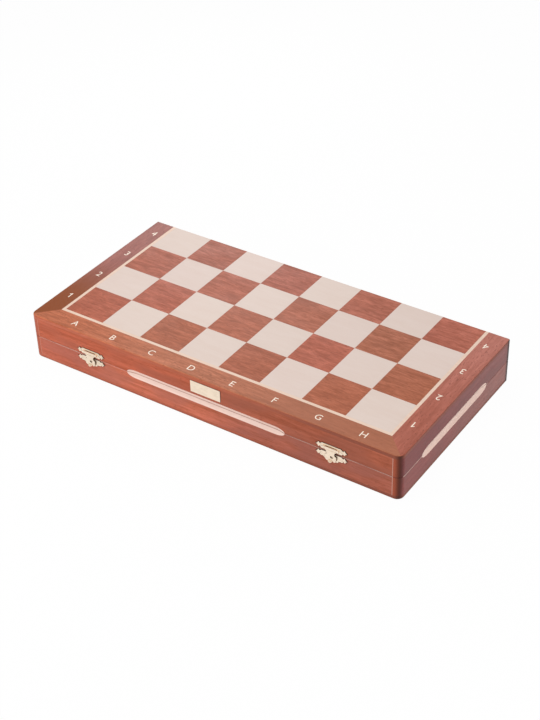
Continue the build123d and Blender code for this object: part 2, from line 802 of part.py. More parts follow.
# Trays. Each half holds five columns of men; the columns of the two halves take turns along
# the case, so that men of one half lie in the relief channels of the other.
columns = [[king, queen], [bishop, bishop, rook], [knight, knight, rook], [pawn] * 4, [pawn] * 4]
tray_left = left_x + rail_thickness + tray_play
tray_front = front_y + rail_thickness + tray_play
tray_back = back_y - rail_thickness - tray_play
tray_top = half_height - tray_below_parting
bed_low = floor_height + bed_floor


def column_width(column):
    """Width of the bed of a column's widest man."""
    return 2 * (max(man.base_radius for man in column) + bed_play)


wall = (-2 * tray_left - 2 * sum(column_width(column) for column in columns)) / (2 * len(columns) + 1)


def column_places(first):
    """Middle of each column of one half, first 0 for the lower half and 1 for the upper."""
    places = []
    edge = tray_left + wall
    for column in columns:
        for half in (0, 1):
            if half == first:
                places.append((edge + column_width(column) / 2, column))
            edge += column_width(column) + wall
    return places


def beds(first):
    """Every man of one half with the middle of its foot, as it lies with its head to the fold."""
    places = []
    for x, column in column_places(first):
        spare = tray_back - tray_front - sum(man.height + 2 * bed_play for man in column)
        y = tray_front
        for man in column:
            y += spare / (len(column) + 1) + bed_play
            places.append((man, x, y, bed_low + bed_play + man.base_radius))
            y += man.height + bed_play
    return places


def tray(first):
    """Foam tray with a stepped bed for each man and relief channels for the other half's men."""
    with BuildPart() as piece:
        block((tray_left, tray_front, floor_height), (-tray_left, tray_back, tray_top))
        for man, x, y, z in beds(first):
            foot_length = 0.62 * man.base_radius
            body_radius = max(1.1 * man.head_radius, 0.66 * man.base_radius) + bed_play
            for radius, start, end in ((man.base_radius + bed_play, -bed_play, foot_length),
                                       (body_radius, foot_length, man.height + bed_play)):
                with Locations(Location((x, y + (start + end) / 2, z), (90, 0, 0))):
                    Cylinder(radius, end - start, mode=Mode.SUBTRACT)
                block((x - radius, y + start, z), (x + radius, y + end, half_height), mode=Mode.SUBTRACT)
        for x, column in column_places(1 - first):
            half_width = column_width(column) / 2 + bed_play
            deep = case_height - bed_low - column_width(column) - relief_play
            block((x - half_width, tray_front, deep), (x + half_width, tray_back, half_height),
                  mode=Mode.SUBTRACT)
    return piece


finish(tray(0), "lower_tray")
finish(mirrored(tray(1)), "upper_tray")

shapes = {"king": (king, turned_king()), "queen": (queen, turned_queen()),
          "bishops": (bishop, turned_bishop()), "knights": (knight, carved_knight()),
          "rooks": (rook, turned_rook()), "pawns": (pawn, turned_pawn())}


def lying(x, y, z):
    """Place of a man's foot when it lies in its bed."""
    return Plane((x, y, z), x_dir=(1, 0, 0), z_dir=(0, 1, 0)).location


for first, colour in ((0, "white"), (1, "black")):
    filled = beds(first)
    for name, (kind, shape) in shapes.items():
        with BuildPart() as men:
            with Locations(*[lying(x, y, z) for man, x, y, z in filled if man == kind]):
                add(shape)
        finish(men if first == 0 else mirrored(men), f"{colour}_{name}")
    with BuildPart() as felts:
        for man, x, y, z in filled:
            with Locations(lying(x, y, z)):
                Cylinder(0.9 * man.base_radius, felt_thickness,
                         align=(Align.CENTER, Align.CENTER, Align.MIN))
    finish(felts if first == 0 else mirrored(felts), f"{colour}_base_felts")
    with BuildPart() as slugs:
        for man, x, y, z in filled:
            with Locations(lying(x, y + felt_thickness, z)):
                Cylinder(slug_share * man.base_radius, slug_height_share * man.base_radius,
                         align=(Align.CENTER, Align.CENTER, Align.MIN))
    finish(slugs if first == 0 else mirrored(slugs), f"{colour}_base_weights")
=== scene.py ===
import math

import bmesh
import bpy
import numpy as np
from bpy.props import FloatProperty, FloatVectorProperty, IntProperty, PointerProperty
from bpy.types import Operator, Panel, PropertyGroup
from mathutils import Matrix, Vector
from mathutils.bvhtree import BVHTree
from mathutils.geometry import delaunay_2d_cdt


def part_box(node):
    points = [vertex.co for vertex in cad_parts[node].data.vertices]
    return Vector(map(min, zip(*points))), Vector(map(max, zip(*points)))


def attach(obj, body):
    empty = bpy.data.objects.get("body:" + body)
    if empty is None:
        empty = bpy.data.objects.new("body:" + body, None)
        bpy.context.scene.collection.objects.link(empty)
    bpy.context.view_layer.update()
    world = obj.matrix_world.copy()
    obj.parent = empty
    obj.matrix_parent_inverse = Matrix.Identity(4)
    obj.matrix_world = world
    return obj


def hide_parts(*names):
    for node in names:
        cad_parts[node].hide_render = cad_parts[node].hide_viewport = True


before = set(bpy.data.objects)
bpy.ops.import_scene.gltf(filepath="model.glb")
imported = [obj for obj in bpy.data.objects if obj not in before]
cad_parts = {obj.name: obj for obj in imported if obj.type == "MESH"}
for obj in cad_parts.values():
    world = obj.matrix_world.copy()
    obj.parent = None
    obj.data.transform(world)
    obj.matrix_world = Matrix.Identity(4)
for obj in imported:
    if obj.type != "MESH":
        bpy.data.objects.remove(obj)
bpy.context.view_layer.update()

bl_info = {
    "name": "Folding Chess Case",
    "version": (1, 0, 0),
    "blender": (4, 5, 0),
    "location": "3D View > Sidebar > Chess Case",
    "description": "Dresses the folding chess case and its men in veneer, stained wood, brass and flock",
    "category": "Object",
}

MM = 0.001

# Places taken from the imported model, in metres
rail_low, rail_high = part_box("upper_front_rail")
panel_low, panel_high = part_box("upper_board_panel")
veneer_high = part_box("upper_dark_squares")[1]
field_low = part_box("upper_dark_squares")[0]
lower_rail_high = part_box("lower_front_rail")[1]
FRONT = rail_low.y
LEFT = panel_low.x
RIGHT = panel_high.x
BACK = panel_high.y
TOP = veneer_high.z
MIDDLE = (rail_low.z + lower_rail_high.z) / 2
HALVES = {"upper": ("upper_case", 1), "lower": ("lower_case", -1)}
LATCHES = ("left", "right")


def linear(hex_colour):
    """An sRGB hex colour as the linear values that shaders use."""
    parts = [int(hex_colour[i : i + 2], 16) / 255 for i in (1, 3, 5)]
    return tuple(c / 12.92 if c <= 0.04045 else ((c + 0.055) / 1.055) ** 2.4 for c in parts)


def colour(label, about, hex_colour):
    """A colour property with its sRGB default."""
    return FloatVectorProperty(
        name=label, description=about, subtype="COLOR", size=3, min=0, max=1, default=linear(hex_colour)
    )


def length(label, about, millimetres):
    """A length property with its default in millimetres."""
    return FloatProperty(name=label, description=about, unit="LENGTH", default=millimetres * MM)


def power(label, about, watts):
    """The power of a lamp with its default in watts."""
    return FloatProperty(name=label, description=about, unit="POWER", default=watts)


class ChessCaseSizes(PropertyGroup):
    square: length("Square", "Side of one square of the board", 58)
    letter_height: length("Letter height", "Height of the capital letters on the border", 9.2)
    digit_height: length("Digit height", "Height of the rank numbers on the border", 9.8)
    mark_thickness: length("Mark thickness", "How far letters and numbers stand on the veneer", 0.03)
    letter_inset: length("Letter inset", "Middle of the letters behind the front edge", 13.2)
    first_letter: length("First letter", "Middle of the letter A from the left edge", 62)
    letter_step: length("Letter step", "From one letter to the next", 58.6)
    digit_inset: length("Left digit inset", "Middle of the left numbers from the left edge", 16)
    right_digit_inset: length("Right digit inset", "Middle of the right numbers from the right edge", 17.2)
    right_digit_lead: length("Right digit lead", "How far the right numbers lie before the left ones", 1)
    first_digit: length("First digit", "Middle of the front number behind the front edge", 58)
    digit_step: length("Digit step", "From one number to the next", 58.1)
    cove_length: length("Front cove", "Length of the groove in the front rails", 230)
    side_cove_length: length("Side cove", "Length of the grooves in the side rails", 163)
    side_cove_shift: length("Side cove shift", "Groove's middle, from the middle of the side rail", -4.5)
    cove_depth: length("Cove depth", "Deepest point of the grooves behind the face", 3.4)
    cove_half_height: length("Cove half height", "Half the groove's height across the parting line", 7.2)
    rail_thickness: length("Rail thickness", "Thickness of the rails, and place of the corner joints", 10)
    glue_line: length("Glue line", "Width of the pale line at the corner joints", 0.5)
    worn_arris: length("Worn arris", "Width of the edges where the stain is rubbed thin", 0.55)
    relief: length("Stamped relief", "Height of the stamped ornament on the latch plates", 0.5)
    plate_thickness: length("Plate thickness", "Thickness of the latch plates under the ornament", 0.8)
    barrel_height: length("Barrel height", "Middle of the latch barrel above the parting line", 6.8)
    hasp_face: length("Hasp face", "Outer face of the hasp in front of the rails", 2.9)
    foam_grid: length("Foam grid", "Spacing of the points of the flocked trays", 1.12)
    foam_lip: length("Foam lip", "Softness of the edges of the beds in the flocked trays", 1.4)
    felt_thickness: length("Felt thickness", "Thickness of the felt under each man", 1)


class ChessCaseColours(PropertyGroup):
    mahogany: colour("Mahogany veneer", "Body tone of the dark squares", "#AA624A")
    front_border: colour("Front border veneer", "Body tone of the mahogany border at the front", "#B66E4F")
    left_border: colour("Left border veneer", "Body tone of the mahogany border at the left", "#9C5E54")
    right_border: colour("Right border veneer", "Body tone of the mahogany border at the right", "#A95F4D")
    maple: colour("Maple veneer", "Body tone of the light squares", "#DFCCC2")
    stringing: colour("Stringing", "Maple line around the squares", "#E8CCB9")
    marks: colour("Letters and numbers", "Printed marks on the border", "#FBEBDA")
    stain: colour("Mahogany stain", "Stained front and back rails", "#B2573A")
    # A darker, greyer copy of the stain: painted shade of the case's side faces
    shaded_side_stain: colour("Side stain", "Stained side rails", "#7C3A38")
    bare_wood: colour("Bare wood", "Pale wood in the grooves, cut after staining", "#F4D6C9")
    ply_edge: colour("Panel edge", "Stained edge of the plywood panels", "#B05D43")
    brass: colour("Brass", "Lacquered latches, plate and hinges", "#F7E4CE")
    flock: colour("Flock", "Flocked foam trays", "#1F3D2C")
    felt: colour("Felt", "Felt under the men", "#27583A")
    boxwood: colour("Boxwood", "Light men", "#D9AE72")
    ebonised: colour("Ebonised wood", "Dark men", "#2A1712")
    steel: colour("Steel", "Weights inside the men", "#8E8E8C")
    floor: colour("Floor", "Studio floor", "#F2F2F2")


class ChessCaseStage(PropertyGroup):
    lens: FloatProperty(name="Lens", description="Focal length of the camera, in mm", default=73.812)
    top_power: power("Top light", "Power of the large light above", 28)
    side_power: power("Side light", "Power of the light at the front left", 5.8)
    back_power: power("Back light", "Power of the light whose sheen lies on the lacquer", 1.5)
    fill_power: power("Fill light", "Power of the light at the right", 2.6)
    ambience: FloatProperty(name="Ambience", description="Strength of the light from all round", default=0.37)
    floor_white: FloatProperty(
        name="Floor white", description="Share of plain white that the camera sees in the floor",
        default=0.97, subtype="FACTOR", min=0, max=1,
    )
    grain_seed: IntProperty(name="Grain seed", description="Seed of the flocked trays' unevenness", default=7)


def sizes():
    return bpy.context.scene.chess_case_sizes


def colours():
    return bpy.context.scene.chess_case_colours


def staging():
    return bpy.context.scene.chess_case_stage


# Nodes


def add(tree, kind, settings=(), out=0, stops=()):
    """Adds one node and gives back one of its outputs. Each setting goes to the input or the
    property that its key names: a socket is linked there, and a tone gets its alpha."""
    made = tree.nodes.new("ShaderNode" + kind)
    for key, value in dict(settings).items():
        if isinstance(value, bpy.types.NodeSocket):
            tree.links.new(value, made.inputs[key])
        elif isinstance(key, int) or key in made.inputs:
            socket = made.inputs[key]
            socket.default_value = (*value, 1) if socket.type == "RGBA" and len(value) == 3 else value
        else:
            setattr(made, key, value)
    for place, tone in stops:
        ends = made.color_ramp.elements
        stop = ends[0] if place == stops[0][0] else ends[-1] if place == stops[-1][0] else ends.new(place)
        stop.position = place
        stop.color = (*tone, 1)
    return made.outputs[out] if made.outputs else None


def shade(tone, value, saturation=1.0):
    """A tone made lighter or darker, and more or less grey."""
    grey = sum(tone) / 3
    return tuple(max(0.0, min(1.0, (grey + (c - grey) * saturation) * value)) for c in tone)


def mask(tree, *steps):
    """Product of smooth steps. Each is a socket as it is, or a socket, the two values that it runs
    between and, where they aren't 0 and 1, the two values that the step gives there."""
    made = None
    for step in steps:
        if not isinstance(step, bpy.types.NodeSocket):
            source, low, high, to_low, to_high = (*step, 0.0, 1.0) if len(step) == 3 else step
            ends = {0: source, 1: low, 2: high, 3: to_low, 4: to_high}
            step = add(tree, "MapRange", {"interpolation_type": "SMOOTHSTEP", **ends})
        if made is not None:
            step = add(tree, "Math", {"operation": "MULTIPLY", 0: made, 1: step})
        made = step
    return made


def lay(tree, base, tone, *steps, kind="MIX"):
    """Lays a tone over a base as far as the product of the steps says, or all over."""
    share = mask(tree, *steps) if steps else 1.0
    return add(tree, "Mix", {"data_type": "RGBA", "blend_type": kind, 0: share, 6: base, 7: tone}, out=2)


def away(tree, part, middle):
    """Distance of a coordinate from a middle, to either side."""
    past = add(tree, "Math", {"operation": "SUBTRACT", 0: part, 1: middle})
    return add(tree, "Math", {"operation": "ABSOLUTE", 0: past})


def start(name):
    """An empty material and its coordinates in millimetres, or the finished one if it is there."""
    found = bpy.data.materials.get(name)
    if found:
        return found, None, None
    material = bpy.data.materials.new(name)
    material.use_nodes = True
    tree = material.node_tree
    tree.nodes.clear()
    place = add(tree, "TexCoord", out="Object")
    return material, tree, add(tree, "Mapping", {"Scale": (1 / MM, 1 / MM, 1 / MM), "Vector": place})


def finish(material, tree, base, rough, height=None, bump=0.02, **constants):
    """Joins colour, roughness and relief to the surface. Constants go straight on its sockets."""
    settings = {name.replace("_", " "): value for name, value in constants.items()}
    if height is not None:
        settings["Normal"] = add(tree, "Bump", {"Strength": 1.0, "Distance": bump * MM, "Height": height})
    surface = add(tree, "BsdfPrincipled", {"Base Color": base, "Roughness": rough, **settings})
    add(tree, "OutputMaterial", {"Surface": surface})


def noise(tree, place, along, long, wide, detail=3.0, roughness=0.55, shift=0.0, distortion=0.0):
    """Noise whose features are long mm along one axis and wide mm across it."""
    scale = [1 / wide] * 3
    scale[along] = 1 / long
    moved = add(tree, "Mapping", {"Scale": scale, "Location": (shift, shift, shift), "Vector": place})
    look = {"Scale": 1.0, "Detail": detail, "Roughness": roughness, "Distortion": distortion}
    return add(tree, "TexNoise", {**look, "Vector": moved})


def grain(tree, place, along, body, contrast, figure, fibre, pore, pore_depth):
    """Colour and height of a wood face: wide figure, fine fibres and open pores along one axis.
    figure, fibre and pore are (length, width) in mm."""
    wide = noise(tree, place, along, *figure, detail=2.5, distortion=0.6)
    fine = noise(tree, place, along, *fibre, detail=4.0, roughness=0.65, shift=11.0)
    pores = noise(tree, place, along, *pore, detail=1.0, shift=23.0)
    fine_share = add(tree, "Math", {"operation": "MULTIPLY", 0: fine, 1: 0.45})
    tone = add(tree, "Math", {"operation": "MULTIPLY_ADD", 0: wide, 1: 0.55, 2: fine_share})
    dark, pale = shade(body, 1 - contrast, 1.06), shade(body, 1 + contrast, 0.95)
    ramped = add(tree, "ValToRGB", {"Fac": tone}, stops=((0.38, dark), (0.5, body), (0.62, pale)))
    base = lay(tree, ramped, shade(body, 0.45, 1.1), (pores, 0.62, 0.72, 0.0, pore_depth))
    sunk = mask(tree, (pores, 0.62, 0.72, 0.0, -1.0))
    return base, add(tree, "Math", {"operation": "MULTIPLY_ADD", 0: fine, 1: 0.5, 2: sunk})


def cells(tree, place):
    """A random colour for each square of the board, and coordinates moved by it, up to furthest
    mm, so that no two squares share their grain."""
    side = sizes().square / MM
    furthest = 900.0
    corner = (field_low.x / MM, field_low.y / MM, TOP / MM / 2)
    moved = add(tree, "VectorMath", {"operation": "SUBTRACT", 0: place, 1: corner})
    counted = add(tree, "VectorMath", {"operation": "DIVIDE", 0: moved, 1: (side, side, TOP / MM)})
    index = add(tree, "VectorMath", {"operation": "FLOOR", 0: counted})
    random = add(tree, "TexWhiteNoise", {"Vector": index}, out="Color")
    jump = add(tree, "VectorMath", {"operation": "SCALE", 0: random, "Scale": furthest})
    return random, add(tree, "VectorMath", {"operation": "ADD", 0: place, 1: jump})


def toned(tree, base, random, spread, hue):
    """Gives each square its own lightness and a touch of its own hue."""
    first, second, _ = add(tree, "SeparateColor", {"Color": random}).node.outputs
    value = mask(tree, (first, 0, 1, 1 - spread, 1 + spread))
    turn = mask(tree, (second, 0, 1, 0.5 - hue, 0.5 + hue))
    return add(tree, "HueSaturation", {"Color": base, "Value": value, "Hue": turn})


# Materials


def mahogany_squares():
    """Mahogany veneer, sliced 0.6 mm thick and lacquered satin: each leaf shows fine dark pores,
    a soft wavy figure along the case with darker flecks, and its own tone. A painted sheen makes
    it warm at the front and milkier towards the back."""
    material, tree, place = start("sliced mahogany veneer, satin lacquer")
    if tree:
        random, own = cells(tree, place)
        body = tuple(colours().mahogany)
        base, height = grain(tree, own, 0, body, 0.27, (30, 6), (12, 1.8), (5, 1.2), 0.6)
        mottle = noise(tree, own, 0, 12, 6, shift=5.0, distortion=1.2)
        base = lay(tree, base, shade(body, 0.8), (mottle, 0.42, 0.68, 0.0, 0.4))
        fleck = noise(tree, own, 0, 12, 2.0, detail=2.0, shift=31.0)
        base = lay(tree, base, shade(body, 0.62, 1.1), (fleck, 0.58, 0.7, 0.0, 0.6))
        base = toned(tree, base, random, 0.05, 0.004)
        # Painted sheen: warm at the front, paler and pinker towards the back, where the lacquer mirrors more
        # of the white surroundings
        y = add(tree, "SeparateXYZ", {"Vector": place}, out=1)
        painted_sheen = lay(tree, (1.05, 1.0, 0.94), (1.05, 1.11, 1.2), (y, -90, 110))
        base = lay(tree, base, painted_sheen, kind="MULTIPLY")
        gloss = mask(tree, (noise(tree, place, 0, 60, 25), 0.3, 0.7, 0.36, 0.46))
        finish(material, tree, base, gloss, height, 0.03, IOR=1.5, Specular_IOR_Level=0.15)
    return material


def maple_squares():
    """Maple veneer, sliced and lacquered satin: almost even cream with a faint fine fleck."""
    material, tree, place = start("sliced maple veneer, satin lacquer")
    if tree:
        random, own = cells(tree, place)
        body = tuple(colours().maple)
        base, height = grain(tree, own, 0, body, 0.022, (60, 12), (18, 1.6), (4, 0.9), 0.04)
        base = toned(tree, base, random, 0.012, 0.003)
        finish(material, tree, base, 0.42, height, 0.012, IOR=1.5, Specular_IOR_Level=0.15)
    return material


def maple_stringing():
    """Maple line, sawn from the same wood and lacquered: a warm pale line round the field."""
    material, tree, place = start("maple stringing, satin lacquer")
    if tree:
        body = tuple(colours().stringing)
        base, height = grain(tree, place, 0, body, 0.05, (40, 3), (20, 0.8), (3, 0.5), 0.05)
        finish(material, tree, base, 0.42, height, 0.012, IOR=1.5, Specular_IOR_Level=0.15)
    return material


def mahogany_border(strip):
    """Mahogany veneer with its grain along the border strip, mitred at the corners, and short
    pores: the strips take the light differently because their grain turns at the mitre. The
    left strip's leaf darkens towards the front and the front strip's towards the right. The
    right strip has a painted sheen, palest at the back."""
    material, tree, place = start(f"sliced mahogany veneer, {strip} border")
    if tree:
        along, contrast = (0, 0.3) if strip == "front" else (1, 0.2)
        body = tuple(getattr(colours(), f"{strip}_border"))
        base, height = grain(tree, place, along, body, contrast, (50, 5), (10, 1.7), (5, 1.4), 0.75)
        mottle = noise(tree, place, along, 26, 9, shift=5.0)
        base = lay(tree, base, shade(body, 0.82), (mottle, 0.38, 0.68, 0.0, 0.4))
        x, y, _ = add(tree, "SeparateXYZ", {"Vector": place}).node.outputs
        if strip == "left":
            dark = shade(tuple(colours().front_border), 0.42, 1.4)
            base = lay(tree, base, dark, (y, FRONT / MM + 55, FRONT / MM + 160, 1.0, 0.0))
        if strip == "right":
            # Painted sheen on the right strip, paler and pinker towards the back
            base = lay(tree, base, (1.17, 1.42, 1.62), (y, -60, 110), kind="MULTIPLY")
        if strip == "front":
            base = lay(tree, base, shade(body, 0.76, 0.95), (x, -20, 160, 0.0, 0.7))
            base = lay(tree, base, (1.0, 0.86, 0.76), (x, -210, -40, 1.0, 0.0), kind="MULTIPLY")
        finish(material, tree, base, 0.4, height, 0.03, IOR=1.5, Specular_IOR_Level=0.2)
    return material


def corner_shade(tree, place):
    """How far a point has come into a rounded corner of the case, 0 to 1: the mask of the
    painted shade on the corners, which turn away from the lamps, most of all at the right."""
    x, y, _ = add(tree, "SeparateXYZ", {"Vector": place}).node.outputs
    half_width, half_depth = RIGHT / MM, (BACK - FRONT) / 2 / MM
    side_reach, end_reach, edge = 9.5, 8.0, 1.0
    left_share, right_share = 0.2, 0.97
    from_middle = away(tree, y, (FRONT + BACK) / 2 / MM)
    return mask(
        tree,
        (away(tree, x, 0.0), half_width - side_reach, half_width - edge),
        (from_middle, half_depth - end_reach, half_depth - edge),
        (x, -1.0, 1.0, left_share, right_share),
    )


def stained_rail(side):
    """Hardwood rail, planed and stained mahogany before the grooves were cut, so that these show
    bare wood. The rounded corners have painted shade, and the stain is rubbed thin at the parting
    line. The side rails take a darker, greyer copy of the stain as painted shade of the side
    faces. The front and back rails have painted shade towards the right, where the light falls
    off, the side rails a painted sheen towards the back, and the lower rails are sawn from a
    paler board. side is the outward axis and its sign."""
    axis, sign = side
    along = 1 - axis
    at_side = axis == 0
    material, tree, place = start(f"stained hardwood rail, {'XY'[axis]} {'low' if sign < 0 else 'high'}")
    if not tree:
        return material
    size = sizes()
    parts = add(tree, "SeparateXYZ", {"Vector": place}).node.outputs
    x, y, z = parts
    face = {(1, -1): FRONT, (1, 1): BACK, (0, -1): LEFT, (0, 1): RIGHT}[side] / MM
    depth = add(tree, "Math", {"operation": "MULTIPLY_ADD", 0: parts[axis], 1: -sign, 2: sign * face})
    from_middle = away(tree, z, MIDDLE / MM)
    stain = tuple(colours().stain)
    # Side rails take the darker, greyer copy of the stain: painted shade of the side faces
    body, contrast = (tuple(colours().shaded_side_stain), 0.13) if at_side else (stain, 0.23)
    pale_wood = shade(tuple(colours().bare_wood), 0.8)
    base, height = grain(tree, place, along, body, contrast, (90, 5), (16, 1.8), (6, 1.2), 0.5)
    cloud = noise(tree, place, along, 60, 22, detail=1.5, shift=3.0)
    base = lay(tree, base, shade(body, 0.84, 0.9), (cloud, 0.4, 0.62, 0.0, 0.6))
    lower = (z, MIDDLE / MM - 0.01, MIDDLE / MM + 0.01, 1.0, 0.0)
    if at_side:
        base = lay(tree, base, (1.32, 1.55, 1.45), lower, kind="MULTIPLY")
        # Painted sheen on the side rails, growing towards the back, where the lacquer mirrors the pale floor
        base = lay(tree, base, (1.35, 2.1, 2.0), (y, FRONT / MM + 40, BACK / MM + 20), kind="MULTIPLY")
        # End grain, which shows on the front and back of the case
        facing = add(tree, "TexCoord", out="Normal")
        lying = away(tree, add(tree, "SeparateXYZ", {"Vector": facing}, out=1), 0.0)
        dots = noise(tree, place, 1, 0.9, 0.9, shift=29.0)
        ends = lay(tree, shade(stain, 0.75), shade(stain, 0.95), (dots, 0.35, 0.7))
        base = lay(tree, base, ends, (lying, 0.45, 0.9))
    else:
        base = lay(tree, base, (1.03, 1.14, 1.38), lower, kind="MULTIPLY")
        streak = (away(tree, x, -70.0), 50.0, 130.0, 1.0, 0.0)
        base = lay(tree, base, (1.12, 1.22, 1.2), streak, lower, kind="MULTIPLY")
        # Painted shade towards the right, where the light from the front left falls off
        base = lay(tree, base, (0.86, 0.97, 1.03), (x, -10, 60), kind="MULTIPLY")
    # Painted shade on the rounded corners, darkest at the right
    base = lay(tree, base, shade(stain, 0.04, 1.35), corner_shade(tree, place))
    # Stain rubbed thin on the edges that meet at the parting line, most on the sides near the front
    arris, half_gap = size.worn_arris / MM, 0.15
    if at_side:
        groove_start = ((FRONT + BACK) / 2 + size.side_cove_shift - size.side_cove_length / 2) / MM
        patchy = (y, groove_start - 4, groove_start + 4, 0.75, 0.0)
    else:
        patchy = (noise(tree, place, along, 30, 3, shift=17.0), 0.3, 0.6, 0.2, 0.5)
    near_parting = (from_middle, half_gap + 0.6 * arris, half_gap + arris, 1.0, 0.0)
    base = lay(tree, base, pale_wood, near_parting, (depth, arris, 1.2 * arris, 1.0, 0.0), patchy)
    # Pale glue line where the front and back rails meet the side rails
    if not at_side:
        joint, glue = (RIGHT - size.rail_thickness) / MM, size.glue_line / MM
        near_joint = (away(tree, x, 0.0), joint - 2 * glue, joint - glue)
        base = lay(tree, base, pale_wood, near_joint, (x, -1.0, 1.0, 0.22, 0.5))
    # The groove, cut through the stain
    if at_side or sign < 0:
        middle = ((FRONT + BACK) / 2 + size.side_cove_shift) / MM if at_side else 0.0
        reach = (size.side_cove_length if at_side else size.cove_length) / 2 / MM
        deepest, half_height = size.cove_depth / MM, size.cove_half_height / MM
        # The front groove is painted darker than the side ones, as shade to offset the stronger light on the
        # front
        bare = shade(tuple(colours().bare_wood), 1.0 if at_side else 0.91)
        pale, _ = grain(tree, place, along, bare, 0.05, (90, 2.5), (40, 0.8), (8, 0.4), 0.12)
        # Painted shadow of the parting gap across the front groove
        if not at_side:
            pale = lay(tree, pale, shade(body, 0.6), (from_middle, 0.35, 0.7, 0.6, 0.0))
        base = lay(
            tree, base, pale,
            (away(tree, parts[along], middle), reach - 0.2, reach + 0.2, 1.0, 0.0),
            (depth, 0.1, 0.22),
            (depth, deepest, deepest + 0.2, 1.0, 0.0),
            (from_middle, half_height, half_height + 0.3, 1.0, 0.0),
            (from_middle, half_gap, half_gap + 0.02),
        )
    finish(material, tree, base, 0.42, height, 0.03, IOR=1.5, Specular_IOR_Level=0.2)
    return material


def panel_edge():
    """Plywood panel, sawn and stained like the rails: the edge shows thin layers under the
    veneer, and has painted shade on the sides, the rounded corners, near the floor at the bottom
    and towards the right, where the light falls off."""
    material, tree, place = start("stained plywood panel")
    if tree:
        body = tuple(colours().ply_edge)
        veneer, ply = 0.6, 1.1
        base, height = grain(tree, place, 0, body, 0.14, (50, 2.5), (14, 0.9), (4, 0.8), 0.4)
        facing = add(tree, "TexCoord", out="Normal")
        sideways = away(tree, add(tree, "SeparateXYZ", {"Vector": facing}, out=0), 0.0)
        # Painted shade on the side faces, in the darker copy of the side stain
        base = lay(tree, base, shade(tuple(colours().shaded_side_stain), 1.25, 0.95), (sideways, 0.4, 0.8))
        x, _, z = add(tree, "SeparateXYZ", {"Vector": place}).node.outputs
        above_veneer = add(tree, "Math", {"operation": "SUBTRACT", 0: z, 1: veneer})
        layer = add(tree, "Math", {"operation": "PINGPONG", 0: above_veneer, 1: ply})
        base = lay(tree, base, shade(body, 0.5), (layer, 0.0, 0.28, 0.2, 0.0))
        # Painted shade along the bottom, near the floor
        base = lay(tree, base, shade(body, 0.5), (z, 1.5, 3.4, 0.5, 0.0))
        # Painted shade towards the right, where the light from the front left falls off
        base = lay(tree, base, shade(body, 0.55, 0.95), (x, 0, 190, 0.0, 0.85))
        # Painted shade on the rounded corners
        base = lay(tree, base, shade(body, 0.04, 1.35), corner_shade(tree, place))
        finish(material, tree, base, 0.45, height, 0.03, IOR=1.5, Specular_IOR_Level=0.2)
    return material


def brass(name, rough, stretch, patina_and_shade_depths=()):
    """Brass sheet, stamped and lacquered: pale gold that mirrors the studio softly, with fine
    rubbing marks. It is brown between pairs of distances in mm in front of the rails: patina in
    the hollows of the ornament, and painted shade on the edges of the plates and hasp, where they
    mirror the dark wood. It stays clean at the back and on the barrels."""
    material, tree, place = start(name)
    if tree:
        body = tuple(colours().brass)
        tarnish = noise(tree, place, 0, 7, 3.5, detail=4)
        base = lay(tree, body, shade(body, 0.82, 1.12), (tarnish, 0.4, 0.75, 0.0, 0.5))
        _, y, z = add(tree, "SeparateXYZ", {"Vector": place}).node.outputs
        out = add(tree, "Math", {"operation": "SUBTRACT", 0: FRONT / MM, 1: y})
        off_barrel = (away(tree, z, (MIDDLE + sizes().barrel_height) / MM), 1.75, 1.85)
        facing = add(tree, "TexCoord", out="Normal")
        outward = (add(tree, "SeparateXYZ", {"Vector": facing}, out=1), 0.3, 0.7, 0.92, 0.0)
        # Brown patina in the ornament's hollows, and painted shade on the edges of the plates and hasp
        for inner, outer in patina_and_shade_depths:
            steps = [(out, inner - 0.02, inner), (out, outer - 0.1, outer + 0.08, 1.0, 0.0), outward]
            if inner > sizes().plate_thickness / MM:
                steps.append(off_barrel)
            base = lay(tree, base, shade(body, 0.14, 0.75), *steps)
        marks = noise(tree, place, 0, *stretch, detail=3, shift=9.0)
        gloss = mask(tree, (marks, 0.3, 0.7, rough - 0.06, rough + 0.08))
        finish(material, tree, base, gloss, marks, 0.006, Metallic=1.0)
    return material


def stamped_brass():
    """Brass pressed in a die: the ground of the ornament has brown patina, and the edges of the plate under
    it and of the hasp have painted shade.
    """
    return brass("stamped brass, clear lacquer", 0.36, (2.5, 0.25), ((-0.1, 0.95), (2.0, 3.0)))


def brushed_brass():
    """Brass sheet brushed along its length, with painted shade only round its edge."""
    return brass("brushed brass sheet", 0.34, (14, 0.16), ((-0.1, 0.62),))


def turned_brass():
    """Drawn and turned brass of hinges, pins and nails: a little glossier than the plates."""
    return brass("drawn brass hinge and nails", 0.28, (4, 0.2))


def steel():
    """Steel slug, cast: dull grey and a little rough."""
    material, tree, place = start("cast steel")
    if tree:
        body = tuple(colours().steel)
        patch = noise(tree, place, 0, 2, 2)
        base = lay(tree, body, shade(body, 0.6), (patch, 0.4, 0.7, 0.0, 0.6))
        finish(material, tree, base, 0.5, patch, 0.03, Metallic=1.0)
    return material


def turned_wood(name, body, contrast, rough):
    """Wood turned on a lathe and lacquered: fine straight grain along the man's own axis."""
    material, tree, place = start(name)
    if tree:
        base, height = grain(tree, place, 1, body, contrast, (60, 3.2), (22, 0.7), (5, 0.3), 0.25)
        finish(material, tree, base, rough, height, 0.015, IOR=1.5, Coat_Weight=0.35, Coat_Roughness=0.2)
    return material


def boxwood():
    """Boxwood of the light men: warm yellow with a close grain."""
    return turned_wood("turned boxwood, lacquered", tuple(colours().boxwood), 0.12, 0.36)


def ebonised_wood():
    """Hardwood of the dark men, stained black-brown before the lacquer."""
    return turned_wood("turned ebonised wood, lacquered", tuple(colours().ebonised), 0.35, 0.3)


